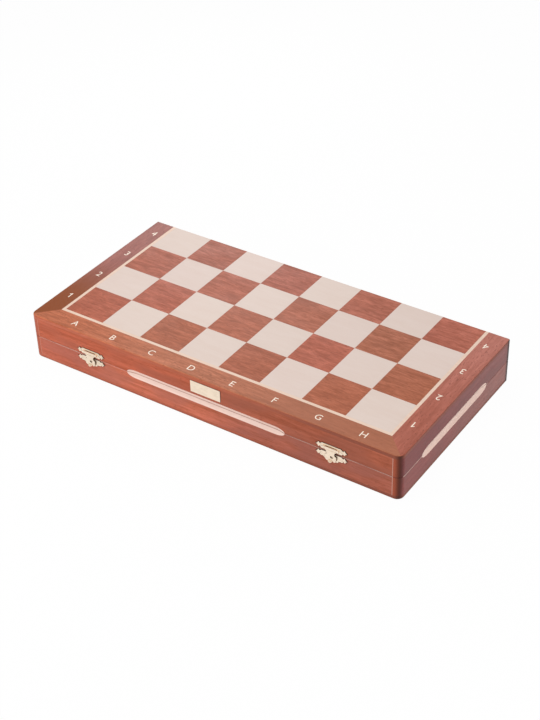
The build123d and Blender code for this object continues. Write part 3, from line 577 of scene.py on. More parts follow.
def nap(name, body, fibre, depth, sheen):
    """Short upstanding fibres: a matt face with a pale bloom at grazing angles."""
    material, tree, place = start(name)
    if tree:
        tuft = noise(tree, place, 0, fibre, fibre, detail=3, roughness=0.7)
        brushed = noise(tree, place, 0, 34, 21, detail=2, shift=13.0)
        base = lay(tree, shade(body, 0.6), shade(body, 1.3), (tuft, 0.3, 0.7))
        base = lay(tree, base, shade(body, 0.75), (brushed, 0.35, 0.65, 0.0, 0.4))
        finish(material, tree, base, 0.95, tuft, depth, IOR=1.45, Sheen_Weight=sheen, Sheen_Roughness=0.4,
               Sheen_Tint=shade(body, 3.0))
    return material


def flock():
    """Flocked foam: nylon fibres 0.5 mm long shot into glue, drawn at 0.8 mm so that they show."""
    return nap("green flock on foam", tuple(colours().flock), 0.8, 0.25, 0.5)


def felt():
    """Wool felt, pressed: matt, with matted fibres about 0.6 mm apart."""
    return nap("pressed wool felt", tuple(colours().felt), 0.6, 0.15, 0.3)


def printed_cream():
    """Cream ink, screen printed under the lacquer: flat and pale with slightly uneven cover."""
    material, tree, place = start("cream screen print")
    if tree:
        body = tuple(colours().marks)
        cover = noise(tree, place, 0, 1.2, 1.2)
        base = lay(tree, body, shade(body, 0.85), (cover, 0.45, 0.8, 0.0, 0.35))
        finish(material, tree, base, 0.42, cover, 0.004, IOR=1.5, Specular_IOR_Level=0.3)
    return material


def dress(node, material):
    """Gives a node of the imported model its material, in every slot."""
    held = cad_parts[node].data.materials
    if not len(held):
        held.append(material)
    for i in range(len(held)):
        held[i] = material


def new_piece(name, points, faces, material, body, slot=None, smooth=None):
    """A mesh piece in the case's own frame, riding on one body."""
    mesh = bpy.data.meshes.new(name)
    mesh.from_pydata([tuple(p) for p in points], [], faces)
    mesh.validate()
    shell = bmesh.new()
    shell.from_mesh(mesh)
    bmesh.ops.remove_doubles(shell, verts=shell.verts, dist=1e-6)
    bmesh.ops.recalc_face_normals(shell, faces=shell.faces)
    shell.to_mesh(mesh)
    shell.free()
    mesh.materials.append(material)
    piece = bpy.data.objects.new(name, mesh)
    bpy.context.scene.collection.objects.link(piece)
    if smooth is not None:
        mesh.shade_smooth()
        mesh.set_sharp_from_angle(angle=math.radians(smooth))
    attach(piece, body)
    return piece


def clumps(node, cell):
    """Separate groups of a node's vertices, seen from above: their corners, in order of x, y."""
    points = np.array([v.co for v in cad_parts[node].data.vertices])
    keys = [tuple(k) for k in np.floor(points[:, :2] / cell).astype(int)]
    filled, groups = set(keys), {}
    for first in sorted(filled):
        if first in groups:
            continue
        waiting = [first]
        groups[first] = first
        while waiting:
            x, y = waiting.pop()
            for near in ((x + i, y + j) for i in (-1, 0, 1) for j in (-1, 0, 1)):
                if near in filled and near not in groups:
                    groups[near] = first
                    waiting.append(near)
    tags = [groups[k] for k in keys]
    found = []
    for tag in sorted(set(tags)):
        mine = points[[t == tag for t in tags]]
        found.append((Vector(mine.min(0)), Vector(mine.max(0))))
    return found


# Board


class CHESSCASE_OT_board(Operator):
    """Gives squares, stringing, border, panels and rails of both halves their woods"""

    bl_idname = "chesscase.board"
    bl_label = "Board and Rails"

    def execute(self, context):
        for half in HALVES:
            dress(f"{half}_dark_squares", mahogany_squares())
            dress(f"{half}_light_squares", maple_squares())
            dress(f"{half}_stringing", maple_stringing())
            for strip in ("front", "left", "right"):
                dress(f"{half}_border_{strip}", mahogany_border(strip))
            dress(f"{half}_board_panel", panel_edge())
            dress(f"{half}_front_rail", stained_rail((1, -1)))
            dress(f"{half}_back_rail", stained_rail((1, 1)))
            dress(f"{half}_left_rail", stained_rail((0, -1)))
            dress(f"{half}_right_rail", stained_rail((0, 1)))
        return {"FINISHED"}


# Outline of the figure one with its flag, one unit high
FIGURE_ONE = [(-0.03, -0.5), (0.11, -0.5), (0.11, 0.5), (0.01, 0.5), (-0.1, 0.38), (-0.26, 0.3),
              (-0.26, 0.17), (-0.03, 0.26)]


def glyph(text, height):
    """Flat shape of one character, centred, as points and faces in its own plane."""
    if text == "1":
        return np.array(FIGURE_ONE) * height, [(0, 1, 2, 3, 7), (3, 4, 5, 6, 7)]
    curve = bpy.data.curves.new("glyph", "FONT")
    curve.body = text
    curve.resolution_u = 6
    holder = bpy.data.objects.new("glyph", curve)
    bpy.context.scene.collection.objects.link(holder)
    bpy.context.view_layer.update()
    mesh = bpy.data.meshes.new_from_object(holder.evaluated_get(bpy.context.evaluated_depsgraph_get()))
    points = np.array([v.co[:2] for v in mesh.vertices])
    faces = [tuple(f.vertices) for f in mesh.polygons]
    bpy.data.objects.remove(holder)
    bpy.data.curves.remove(curve)
    bpy.data.meshes.remove(mesh)
    low, high = points.min(0), points.max(0)
    return (points - (low + high) / 2) * height / (high[1] - low[1]), faces


def marks(name, half, places, height):
    """Printed characters on a border: places hold text, x, y and the way their top points."""
    body, side = HALVES[half]
    level = TOP if side > 0 else 0.0
    thick = sizes().mark_thickness
    points, faces = [], []
    for text, x, y, up in places:
        flat, shapes = glyph(text, height)
        # The back of each character is sunk a little in the veneer
        for lift in (thick, -0.2 * thick):
            first = len(points)
            # Seen from its own side of the case, right is up turned clockwise
            points += [(x + up * side * u, y + up * v, level + side * lift) for u, v in flat]
            faces += [tuple(first + i for i in shape) for shape in shapes]
            if lift > 0:
                edges = {}
                for shape in shapes:
                    for a, b in zip(shape, shape[1:] + shape[:1]):
                        edges[(a, b)] = edges.get((a, b), 0) + 1
                rim = [(first + a, first + b) for a, b in edges if (b, a) not in edges]
                faces += [(a, b, b + len(flat), a + len(flat)) for a, b in rim]
    return new_piece(name, points, faces, printed_cream(), body)


class CHESSCASE_OT_marks(Operator):
    """Prints the letters of the files and the numbers of the ranks on the borders"""

    bl_idname = "chesscase.marks"
    bl_label = "Letters and Numbers"

    def execute(self, context):
        size = sizes()
        for half, (_, side) in HALVES.items():
            letters = [
                (text, LEFT + size.first_letter + i * size.letter_step, FRONT + size.letter_inset, 1)
                for i, text in enumerate("ABCDEFGH")
            ]
            marks(f"{half}_file_letters", half, letters, size.letter_height)
            ranks = "1234" if side > 0 else "8765"
            digits = []
            for i, text in enumerate(ranks):
                y = FRONT + size.first_digit + i * size.digit_step
                digits.append((text, LEFT + size.digit_inset, y, side))
                digits.append((text, RIGHT - size.right_digit_inset, y - size.right_digit_lead, -side))
            marks(f"{half}_rank_numbers", half, digits, size.digit_height)
        return {"FINISHED"}


# Brass


def arc(start_point, through, end, steps=10):
    """Points of the arc through three points, the last one left off."""
    (ax, ay), (bx, by), (cx, cy) = start_point, through, end
    d = 2 * (ax * (by - cy) + bx * (cy - ay) + cx * (ay - by))
    ux = ((ax**2 + ay**2) * (by - cy) + (bx**2 + by**2) * (cy - ay) + (cx**2 + cy**2) * (ay - by)) / d
    uy = ((ax**2 + ay**2) * (cx - bx) + (bx**2 + by**2) * (ax - cx) + (cx**2 + cy**2) * (bx - ax)) / d
    first, middle, last = (math.atan2(y - uy, x - ux) for x, y in (start_point, through, end))
    way = (middle - first) % math.tau < (last - first) % math.tau
    sweep = (last - first) % math.tau if way else -((first - last) % math.tau)
    radius = math.hypot(ax - ux, ay - uy)
    turns = [first + sweep * i / steps for i in range(steps)]
    return [(ux + radius * math.cos(turn), uy + radius * math.sin(turn)) for turn in turns]


def near(points, lines):
    """Distance of each point to the nearest of some polylines."""
    best = np.full(len(points), 1e9)
    for line in lines:
        line = np.array(line, float)
        for a, b in zip(line[:-1], line[1:]):
            run = b - a
            along = np.clip(((points - a) @ run) / max(run @ run, 1e-12), 0, 1)
            best = np.minimum(best, np.hypot(*(points - a - along[:, None] * run).T))
    return best


def inside(points, outline):
    """Which points lie inside a closed outline."""
    x, y = points.T
    held = np.zeros(len(points), bool)
    for (ax, ay), (bx, by) in zip(outline, outline[1:] + outline[:1]):
        if ay != by:
            held ^= ((ay > y) != (by > y)) & (x < (bx - ax) * (y - ay) / (by - ay) + ax)
    return held


def filled(outline, step, holes=()):
    """Triangles that fill an outline less its holes, with points step apart inside."""
    rings = [outline, *holes]
    low, high = np.min(outline, 0), np.max(outline, 0)
    xs, ys = (np.arange(low[i] + step / 2, high[i], step) for i in (0, 1))
    spots = np.array([(x + (j % 2) * step / 2, y) for j, y in enumerate(ys) for x in xs])
    spots = spots[inside(spots, outline)]
    for hole in holes:
        spots = spots[~inside(spots, hole)]
    closed = [ring + ring[:1] for ring in rings]
    spots = spots[near(spots, closed) > 0.45 * step]
    points, edges = [], []
    for ring in rings:
        first = len(points)
        points += ring
        edges += [(first + i, first + (i + 1) % len(ring)) for i in range(len(ring))]
    points += [tuple(s) for s in spots]
    made, _, faces, _, _, _ = delaunay_2d_cdt([Vector(p) for p in points], edges, [], 0, 1e-6)
    flat = np.array([tuple(p) for p in made])
    middles = np.array([flat[list(f)].mean(0) for f in faces])
    kept = inside(middles, outline)
    for hole in holes:
        kept &= ~inside(middles, hole)
    return flat, [f for f, keep in zip(faces, kept) if keep], near(flat, closed)


def curl(centre, radius, turn, sweep, tighten, steps=14):
    """An engraved curl: a spiral from its outer end inwards."""
    spots = [(radius * (1 - tighten * i / steps), turn + sweep * i / steps) for i in range(steps + 1)]
    return [(centre[0] + far * math.cos(way), centre[1] + far * math.sin(way)) for far, way in spots]


def mirrored(*lines):
    """Engraved lines, in mm from a latch's middle and the parting line, and their mirror images."""
    return [[(way * x, y) for x, y in line] for line in lines for way in (-1, 1)]


def relief_height(flat, edge, engraved):
    """Height in mm of stamped sheet: rounded rim, a sunk border line and engraved curls. edge
    holds how far each point lies from the outline."""
    foot, rim, lowest = 0.12, 0.4, 0.04
    border, border_width, curl_width = 1.0, 0.26, 0.25
    rise = sizes().relief / MM - foot
    height = foot + rise * np.sqrt(1 - (1 - np.clip(edge / rim, 0, 1)) ** 2)
    height -= 0.5 * rise * np.exp(-(((edge - border) / border_width) ** 2))
    height -= 0.85 * rise * np.exp(-((near(flat, engraved) / curl_width) ** 2))
    return np.maximum(height, lowest)


def inset(outline, gap):
    """A closed outline moved inwards by a gap."""
    points = np.array(outline)
    run = np.roll(points, -1, 0) - np.roll(points, 1, 0)
    run /= np.maximum(np.hypot(*run.T), 1e-9)[:, None]
    x, y = points.T
    turn = np.sign(np.sum(x * np.roll(y, -1) - np.roll(x, -1) * y))
    return [tuple(p) for p in points + gap * turn * np.stack([-run[:, 1], run[:, 0]], 1)]


def joined(*steps):
    """An outline from corners and arcs: a point is a corner, three points are an arc."""
    points = []
    for step in steps:
        points += arc(*step) if isinstance(step[0], tuple) else [step]
    return points


def face_loops(node, level):
    """Closed edge lines, longest first, of a node's flat faces at one depth, as (x, z)."""
    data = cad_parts[node].data
    spots = [tuple(round(c, 6) for c in v.co) for v in data.vertices]
    edges = set()
    for face in data.polygons:
        ring = [spots[i] for i in face.vertices]
        if all(abs(y - level) < 1e-5 for _, y, _ in ring):
            edges.update(zip(ring, ring[1:] + ring[:1]))
    after = {a: b for a, b in edges if (b, a) not in edges}
    loops = []
    while after:
        here = next(iter(sorted(after)))
        loop = []
        while here in after:
            loop.append((here[0], here[2]))
            here = after.pop(here)
        loops.append(loop)
    return sorted(loops, key=lambda loop: -(np.ptp(loop, 0).sum()))


def stamping(name, node, level, out, lines, body, flats=()):
    """Stamped ornament over a plate of a latch. Its outline is read off the plate at one level,
    and it lies out mm in front of the rails. It stays low near the flats, which are (x, y,
    radius) of nails, and under the barrel. All its own measures are in mm."""
    margin, hole_margin, least_hole, grid = 0.12, 0.15, 2.5, 0.4
    barrel_radius, barrel_half_length, flat_height = 1.7, 7.8, 0.1
    low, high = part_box(node)
    latch_x = (low.x + high.x) / 2
    rings = [[((x - latch_x) / MM, (z - MIDDLE) / MM) for x, z in loop] for loop in face_loops(node, level)]
    holes = [inset(ring, -hole_margin) for ring in rings[1:] if np.ptp(ring, 0)[0] > least_hole]
    flat, faces, edge = filled(inset(rings[0], margin), grid, holes)
    height = relief_height(flat, edge, lines)
    keep_low = np.abs(flat[:, 1] - sizes().barrel_height / MM) < barrel_radius
    keep_low &= np.abs(flat[:, 0]) < barrel_half_length
    for x, y, radius in flats:
        keep_low |= np.hypot(flat[:, 0] - x, flat[:, 1] - y) < radius
    height = np.where(keep_low, np.minimum(height, flat_height), height)
    points = [(latch_x + u * MM, FRONT - (out + h) * MM, MIDDLE + v * MM) for (u, v), h in zip(flat, height)]
    return new_piece(name, points, faces, stamped_brass(), body, "brass", 50)


# The nails of a latch, in mm: how far they are from its middle, their heights above the parting
# line, and how much of the ornament round them stays flat
NAIL_OFFSET, UPPER_NAIL, LOWER_NAIL, NAIL_REACH = 13.4, 6.6, -4.5, 1.35


class CHESSCASE_OT_latches(Operator):
    """Gives the latches, nails and bare name plate their brass, and stamps the plates' ornament"""

    bl_idname = "chesscase.latches"
    bl_label = "Latches and Plate"

    def execute(self, context):
        plate, hasp_out = sizes().plate_thickness / MM, sizes().hasp_face / MM
        plate_lines = mirrored(
            curl((15.0, 6.8), 1.9, 2.6, -4.4, 0.75),
            ((17.0, 6.6), (18.2, 6.6), (19.6, 6.6)),
        )
        catch_lines = mirrored(
            curl((14.8, -4.4), 1.9, 3.4, 4.4, 0.75),
            ((16.8, -4.1), (18.3, -4.1), (19.6, -4.0)),
            ((9.6, -2.6), (10.8, -5.2), (9.0, -8.2)),
        )
        hasp_lines = mirrored(curl((3.4, 1.2), 1.3, 0.8, 4.2, 0.7), curl((4.8, -7.6), 1.2, 3.8, -3.6, 0.6))
        hasp_lines.append([(-3.2, -1.4), (0, -0.4), (3.2, -1.4)])
        nails = [[(x, y, NAIL_REACH) for x in (-NAIL_OFFSET, NAIL_OFFSET)] for y in (UPPER_NAIL, LOWER_NAIL)]
        for side in LATCHES:
            for part in ("upper_plate", "catch_plate", "hasp"):
                dress(f"latch_{side}_{part}", stamped_brass())
            dress(f"latch_{side}_pin", turned_brass())
            stamping(f"latch_{side}_plate_stamping", f"latch_{side}_upper_plate", FRONT, plate, plate_lines,
                     "upper_case", nails[0])
            stamping(f"latch_{side}_catch_stamping", f"latch_{side}_catch_plate", FRONT, plate, catch_lines,
                     "lower_case", nails[1])
            stamping(f"latch_{side}_hasp_stamping", f"latch_{side}_hasp", FRONT - hasp_out * MM, hasp_out,
                     hasp_lines, f"{side}_hasp")
        for node in ("latch_nails_upper", "latch_nails_lower"):
            dress(node, turned_brass())
        dress("name_plate", brushed_brass())
        return {"FINISHED"}


class CHESSCASE_OT_hinges(Operator):
    """Gives hinges, pins and screws their brass"""

    bl_idname = "chesscase.hinges"
    bl_label = "Hinges"

    def execute(self, context):
        for side in LATCHES:
            for part in ("lower_leaf", "upper_leaf", "pin"):
                dress(f"hinge_{side}_{part}", turned_brass())
        for node in ("hinge_screws_lower", "hinge_screws_upper"):
            dress(node, turned_brass())
        return {"FINISHED"}


# Trays and men


def softened(field, spread):
    """The height field blurred by a bell curve spread cells wide, edges kept."""
    reach = int(math.ceil(3 * spread))
    bell = np.exp(-0.5 * (np.arange(-reach, reach + 1) / spread) ** 2)
    bell /= bell.sum()
    padded = np.pad(field, reach, mode="edge")
    rows = np.apply_along_axis(lambda line: np.convolve(line, bell, mode="valid"), 0, padded)
    return np.apply_along_axis(lambda line: np.convolve(line, bell, mode="valid"), 1, rows)


def flocked_tray(half):
    """A foam tray with soft lips round its beds and a slightly uneven face, read off the packed
    tray from its open side, which faces down in the upper half."""
    body, side = HALVES[half]
    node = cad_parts[f"{half}_tray"]
    low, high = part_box(f"{half}_tray")
    corners = [v.co for v in node.data.vertices]
    tree = BVHTree.FromPolygons(corners, [tuple(f.vertices) for f in node.data.polygons])
    edge, eye_distance, deepest = 1e-5, 0.01, 0.033
    wave_length, wave_height, least_foam = 9 * MM, 0.12 * MM, 0.6 * MM
    step = sizes().foam_grid
    counts = [int(round((high[i] - low[i]) / step)) for i in (0, 1)]
    xs = np.linspace(low.x + edge, high.x - edge, counts[0] + 1)
    ys = np.linspace(low.y + edge, high.y - edge, counts[1] + 1)
    eye = high.z + eye_distance if side < 0 else low.z - eye_distance
    ray = Vector((0, 0, -1)) if side < 0 else Vector((0, 0, 1))
    deep = np.zeros((len(ys), len(xs)))
    for j, y in enumerate(ys):
        for i, x in enumerate(xs):
            spot = tree.ray_cast(Vector((x, y, eye)), ray)[0]
            deep[j, i] = abs(spot.z - eye) if spot is not None else deepest
    spread = sizes().foam_lip / step
    soft = np.maximum(deep, softened(deep, spread))
    chance = np.random.default_rng(staging().grain_seed)
    wave = softened(chance.normal(0, 1, deep.shape), wave_length / step)
    soft += wave_height * np.clip(wave / wave.std() + 1, 0, 3)
    back = high.z if side > 0 else low.z
    soft = np.minimum(soft, abs(back - eye) - least_foam)
    level = eye + ray.z * soft
    points, faces = [], []
    wide = len(xs)
    for j, y in enumerate(ys):
        points += [(x, y, level[j, i]) for i, x in enumerate(xs)]
    for j in range(len(ys) - 1):
        faces += [(j * wide + i, j * wide + i + 1, (j + 1) * wide + i + 1, (j + 1) * wide + i)
                  for i in range(wide - 1)]
    rim = list(range(wide)) + [j * wide + wide - 1 for j in range(1, len(ys))]
    rim += [(len(ys) - 1) * wide + i for i in range(wide - 2, -1, -1)]
    rim += [j * wide for j in range(len(ys) - 2, 0, -1)]
    first = len(points)
    points += [(points[i][0], points[i][1], back) for i in rim]
    for k, i in enumerate(rim):
        after = (k + 1) % len(rim)
        faces.append((i, rim[after], first + after, first + k))
    faces.append(tuple(range(first, first + len(rim))))
    piece = new_piece(f"{half}_flocked_tray", points, faces, flock(), body, "flocked_foam", 70)
    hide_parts(f"{half}_tray")


class CHESSCASE_OT_trays(Operator):
    """Makes the flocked foam trays of both halves"""

    bl_idname = "chesscase.trays"
    bl_label = "Flocked Trays"

    def execute(self, context):
        for half in HALVES:
            flocked_tray(half)
        return {"FINISHED"}


def lathed(profile, steps=48):
    """Points and faces of a profile (radius, height) turned about the upright axis."""
    points, faces = [], []
    for radius, height in profile:
        points += [(radius * math.cos(math.tau * i / steps), radius * math.sin(math.tau * i / steps), height)
                   for i in range(steps)]
    for j in range(len(profile) - 1):
        for i in range(steps):
            after = (i + 1) % steps
            faces.append((j * steps + i, j * steps + after, (j + 1) * steps + after, (j + 1) * steps + i))
    return points, faces


def laid(points, foot, side):
    """Points of an upright man, in mm, laid along the case's depth on its foot's middle."""
    return [(foot.x + x * MM, foot.y + z * MM, foot.z - side * y * MM) for x, y, z in points]


def foot_profile(base, neck_height, neck, rest):
    """Foot of a turned man above its felt, as (radius, height) in mm."""
    waist = (0.6 * base, rest + 0.6 * base)
    belly = (0.68 * neck + 0.32 * waist[0], 0.62 * waist[1] + 0.38 * neck_height)
    rim, step = (0.93 * base, rest + 0.28 * base), (0.85 * base, rest + 0.31 * base)
    return joined((0.0, rest), ((0.94 * base, rest), (base, rest + 0.14 * base), rim), rim,
                  (step, (0.8 * base, rest + 0.46 * base), (0.66 * base, rest + 0.54 * base)),
                  (0.66 * base, rest + 0.54 * base), (waist, belly, (neck, neck_height)), (neck, neck_height))


def rounded_path(points, steps=5):
    """A closed smooth line through points."""
    count, made = len(points), []
    for i in range(count):
        a, b, c, d = (np.array(points[(i + k) % count], float) for k in (-1, 0, 1, 2))
        for j in range(steps):
            t = j / steps
            made.append(tuple(0.5 * (2 * b + (c - a) * t + (2 * a - 5 * b + 4 * c - d) * t**2
                                     + (3 * b - a - 3 * c + d) * t**3)))
    return made


# Outline of the knight's head, in mm forwards and up from the middle of its foot
HORSE_HEAD = [(-10.5, 19.2), (-13.1, 26), (-14.1, 34), (-13.0, 43), (-10.4, 51), (-6.6, 58), (-3.0, 63.4),
              (-0.6, 66.6), (0.8, 71.6), (3.2, 66.2), (5.6, 62.8), (8.6, 57.6), (11.8, 51.2), (14.4, 45.4),
              (16.0, 41.2), (15.9, 38.4), (14.2, 36.8), (11.8, 35.4), (9.2, 35.9), (6.6, 38.3), (3.6, 39.6),
              (1.6, 37.0), (2.4, 32.4), (5.8, 27.6), (9.4, 23.6), (11.0, 19.2)]


def horse_head():
    """A carved horse's head, looking along +x: points and faces in mm."""
    outline = rounded_path(HORSE_HEAD)
    flat, faces, edge = filled(outline, 0.85)
    u, v = flat.T
    thick = np.interp(v, (19, 34, 46, 56, 66, 72), (8.3, 7.6, 6.6, 5.4, 3.6, 2.2))
    muzzle = np.clip((u - 6) / 10, 0, 1) * np.clip((52 - v) / 6, 0, 1)
    thick = thick * (1 - 0.3 * muzzle)
    round_over = np.clip(edge / 4.2, 0, 1)
    side = thick * np.sqrt(1 - (1 - round_over) ** 2)
    inner = np.clip(edge / 1.2, 0, 1)

    def bump(x, y, radius):
        return np.exp(-(((u - x) ** 2 + (v - y) ** 2) / radius**2))

    def groove(lines, width):
        return np.exp(-((near(flat, lines) / width) ** 2))

    crest = [p for p in outline if p[0] < 0 and 21 < p[1] < 64]
    mane_edge = [(x + 6.2 - 2.6 * (y - 21) / 43, y - 1.0) for x, y in crest]
    locks = [[(x - 0.4, y + 1.2), (x + 2.8, y - 0.6), (x + 5.2 - 2.0 * (y - 21) / 43, y - 3.6)]
             for x, y in crest[2::4]]
    side += inner * (0.9 * bump(4.6, 46.4, 4.6) + 0.5 * bump(5.7, 55.4, 1.1) + 0.5 * bump(7.0, 57.0, 1.6))
    side -= inner * 0.9 * groove([mane_edge], 0.55)
    side -= inner * 0.45 * groove(locks, 0.55)
    side -= inner * 0.7 * groove([[(15.4, 38.9), (12.6, 39.3), (10.2, 40.6)]], 0.45)
    side -= inner * 0.8 * bump(13.9, 41.9, 0.85)
    ring = [(5.7 + 1.7 * math.cos(t / 3), 55.4 + 1.2 * math.sin(t / 3)) for t in range(20)]
    side -= inner * 0.5 * groove([ring], 0.4)
    side -= inner * 0.6 * groove([[(0.9, 69.6), (1.2, 66.8), (0.8, 64.6)]], 0.5)
    jaw = [(0.6, 42.5), (0.0, 46.5), (1.6, 50.6), (4.4, 52.4)]
    side -= inner * 0.45 * groove([jaw], 0.7)
    side = np.maximum(side, 0) * (edge > 1e-6)
    count = len(flat)
    points = [(x, t, y) for (x, y), t in zip(flat, side)] + [(x, -t, y) for (x, y), t in zip(flat, side)]
    shapes = [tuple(f) for f in faces] + [tuple(count + i for i in reversed(f)) for f in faces]
    return points, shapes


def knight():
    """The turned foot and the carved head of an upright knight, each as points and faces in mm."""
    base, neck, neck_height = 17.5, 12.0, 17.0
    ring, bulge, ring_height = 12.4, 13.6, 2.4
    low_ring, high_ring = (ring, neck_height), (ring, neck_height + ring_height)
    collar = [low_ring, *arc(low_ring, (bulge, neck_height + ring_height / 2), high_ring), high_ring,
              (0.0, neck_height + ring_height)]
    foot = foot_profile(base, neck_height, neck, sizes().felt_thickness / MM)
    return [lathed(foot + collar, 56), horse_head()]


def gathered(parts):
    """Several (points, faces) as one."""
    points, faces = [], []
    for some, shapes in parts:
        first = len(points)
        points += some
        faces += [tuple(first + i for i in shape) for shape in shapes]
    return points, faces


def felt_disc(radius):
    """Felt disc with a soft rounded edge, in mm."""
    thick = sizes().felt_thickness / MM
    profile = [(0.0, 0.0), (radius - 0.35, 0.0), (radius - 0.08, 0.14), (radius, 0.5 * thick),
               (radius - 0.08, thick - 0.1), (radius - 0.3, thick), (0.0, thick)]
    return lathed(profile, 40)


# Men of a kind lie further apart than this
MAN_GAP = 2 * MM


class CHESSCASE_OT_men(Operator):
    """Gives the men their woods, felt feet and carved knights' heads"""

    bl_idname = "chesscase.men"
    bl_label = "Chessmen"

    def execute(self, context):
        for kind, half, wood in (("white", "lower", boxwood), ("black", "upper", ebonised_wood)):
            body, side = HALVES[half]
            for man in ("king", "queen", "bishops", "knights", "rooks", "pawns"):
                dress(f"{kind}_{man}", wood())
            foot_and_head = knight()
            parts = []
            for low, high in clumps(f"{kind}_knights", MAN_GAP):
                foot = Vector(((low.x + high.x) / 2, low.y - sizes().felt_thickness, (low.z + high.z) / 2))
                parts += [(laid(some, foot, -side), shapes) for some, shapes in foot_and_head]
            wood_slot = "boxwood" if kind == "white" else "ebonised_wood"
            piece = new_piece(f"{kind}_carved_knights", *gathered(parts), wood(), body, wood_slot, 50)
            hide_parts(f"{kind}_knights")
            dress(f"{kind}_base_weights", steel())
            parts = []
            for low, high in clumps(f"{kind}_base_felts", MAN_GAP):
                foot = Vector(((low.x + high.x) / 2, low.y, (low.z + high.z) / 2))
                disc, shapes = felt_disc((high.x - low.x) / 2 / MM)
                parts.append((laid(disc, foot, -side), shapes))
            piece = new_piece(f"{kind}_felt_feet", *gathered(parts), felt(), body, "felt", 60)
            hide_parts(f"{kind}_base_felts")
        return {"FINISHED"}


# Studio


# Half the floor's width, and its drop under the case, in metres
FLOOR_REACH = 6.0
FLOOR_DROP = 0.0002
# Each lamp's name, place and side in metres, and the property that holds its power
LAMPS = (
    ("top_softbox", (-0.05, -0.4, 2.2), 2.0, "top_power"),
    ("side_softbox", (-0.75, -0.85, 0.25), 0.6, "side_power"),
    ("fill_softbox", (1.1, -0.3, 0.28), 0.6, "fill_power"),
    ("back_softbox", (-0.6, 0.75, 0.5), 0.4, "back_power"),
)
# The camera's place in metres and the ways its right, its top and its lens point, fitted to the
# photograph
CAMERA_PLACE = (0.845908, -1.205751, 1.082495)
CAMERA_RIGHT = (0.83116321, 0.55541578, -0.02609661)
CAMERA_UP = (-0.30914624, 0.50062007, 0.80858404)
CAMERA_VIEW = (-0.46216482, 0.66399763, -0.58780168)


def seen_plain(tree):
    """1 where the camera sees the surroundings, straight or by way of metal or glass."""
    rays = add(tree, "LightPath").node.outputs
    plain = rays["Is Camera Ray"]
    for ray in ("Is Glossy Ray", "Is Transmission Ray"):
        plain = add(tree, "Math", {"operation": "MAXIMUM", 0: plain, 1: rays[ray]})
    return plain


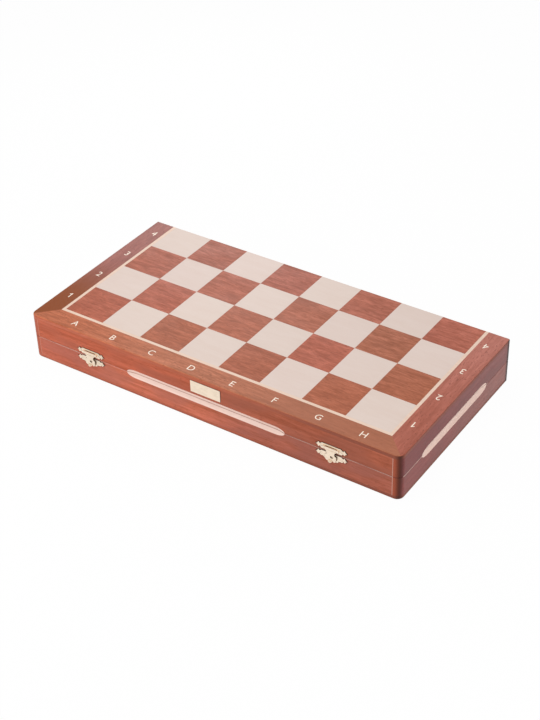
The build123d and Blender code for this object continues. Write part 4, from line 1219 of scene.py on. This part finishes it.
class CHESSCASE_OT_stage(Operator):
    """Makes the pale floor, the soft lights, the white surroundings and the camera"""

    bl_idname = "chesscase.stage"
    bl_label = "Studio"

    def execute(self, context):
        scene = context.scene
        setup = staging()
        scene.view_settings.view_transform = "Standard"
        self.make_floor(scene, setup)
        self.make_world(scene, setup)
        self.make_lamps(scene, setup)
        self.make_camera(scene, setup)
        return {"FINISHED"}

    def make_floor(self, scene, setup):
        """A matt pale floor that the camera sees as nearly white, with the case's shadow."""
        material, tree, place = start("painted studio floor")
        body = tuple(colours().floor)
        cloud = noise(tree, place, 0, 400, 400)
        tone = lay(tree, body, shade(body, 0.98), (cloud, 0.3, 0.7, 0.0, 0.3))
        matt = add(tree, "BsdfDiffuse", {"Color": tone})
        white = add(tree, "Emission", {"Color": (1, 1, 1), "Strength": 1.0})
        share = add(tree, "Math", {"operation": "MULTIPLY", 0: seen_plain(tree), 1: setup.floor_white})
        mixed = add(tree, "MixShader", {0: share, 1: matt, 2: white})
        add(tree, "OutputMaterial", {"Surface": mixed})
        mesh = bpy.data.meshes.new("studio_floor")
        corners = [(x * FLOOR_REACH, y * FLOOR_REACH, 0) for x, y in ((-1, -1), (1, -1), (1, 1), (-1, 1))]
        mesh.from_pydata(corners, [], [(0, 1, 2, 3)])
        mesh.materials.append(material)
        floor = bpy.data.objects.new("studio_floor", mesh)
        floor.location.z = -FLOOR_DROP
        scene.collection.objects.link(floor)

    def make_world(self, scene, setup):
        """Even light from all round, which the camera sees as plain white."""
        world = bpy.data.worlds.new("white studio")
        world.use_nodes = True
        tree = world.node_tree
        tree.nodes.clear()
        soft = add(tree, "Background", {"Color": (1, 1, 1), "Strength": setup.ambience})
        white = add(tree, "Background", {"Color": (1, 1, 1), "Strength": 1.0})
        mixed = add(tree, "MixShader", {0: seen_plain(tree), 1: soft, 2: white})
        add(tree, "OutputWorld", {"Surface": mixed})
        scene.world = world

    def make_lamps(self, scene, setup):
        """Square softboxes turned to the case. Only the one at the back shows in the lacquer."""
        middle = Vector((0, (FRONT + BACK) / 2, MIDDLE))
        for name, spot, side, held in LAMPS:
            lamp = bpy.data.lights.new(name, "AREA")
            lamp.shape = "SQUARE"
            lamp.size = side
            lamp.energy = getattr(setup, held)
            light = bpy.data.objects.new(name, lamp)
            light.location = spot
            light.rotation_euler = (middle - Vector(spot)).to_track_quat("-Z", "Y").to_euler()
            light.visible_glossy = name == "back_softbox"
            light.visible_camera = False
            scene.collection.objects.link(light)

    def make_camera(self, scene, setup):
        """The camera where the photograph was taken from."""
        data = bpy.data.cameras.new("photo_camera")
        data.lens = setup.lens
        data.sensor_width = 36
        data.clip_start = 0.05
        data.clip_end = 50
        camera = bpy.data.objects.new("photo_camera", data)
        turn = Matrix((CAMERA_RIGHT, CAMERA_UP, -Vector(CAMERA_VIEW))).transposed().to_4x4()
        camera.matrix_world = Matrix.Translation(CAMERA_PLACE) @ turn
        scene.collection.objects.link(camera)
        scene.camera = camera


class CHESSCASE_PT_panel(Panel):
    """Lists the pieces of the chess case"""

    bl_idname = "CHESSCASE_PT_panel"
    bl_label = "Chess Case"
    bl_space_type = "VIEW_3D"
    bl_region_type = "UI"
    bl_category = "Chess Case"

    def draw(self, context):
        for step in STEPS:
            self.layout.operator(step.bl_idname)
        for group in (sizes(), colours(), staging()):
            box = self.layout.box()
            for name in group.bl_rna.properties.keys():
                if name not in ("rna_type", "name"):
                    box.prop(group, name)


GROUPS = {
    "chess_case_sizes": ChessCaseSizes,
    "chess_case_colours": ChessCaseColours,
    "chess_case_stage": ChessCaseStage,
}
STEPS = (
    CHESSCASE_OT_stage,
    CHESSCASE_OT_board,
    CHESSCASE_OT_marks,
    CHESSCASE_OT_latches,
    CHESSCASE_OT_hinges,
    CHESSCASE_OT_trays,
    CHESSCASE_OT_men,
)


def register():
    for kind in (*GROUPS.values(), *STEPS, CHESSCASE_PT_panel):
        bpy.utils.register_class(kind)
    for name, group in GROUPS.items():
        setattr(bpy.types.Scene, name, PointerProperty(type=group))


def unregister():
    for name in GROUPS:
        delattr(bpy.types.Scene, name)
    for kind in (CHESSCASE_PT_panel, *reversed(STEPS), *GROUPS.values()):
        bpy.utils.unregister_class(kind)


def main():
    register()
    for step in STEPS:
        group, name = step.bl_idname.split(".")
        result = getattr(getattr(bpy.ops, group), name)()
        if "FINISHED" not in result:
            raise RuntimeError(f"{step.bl_label} did not finish")


if __name__ == "__main__":
    main()
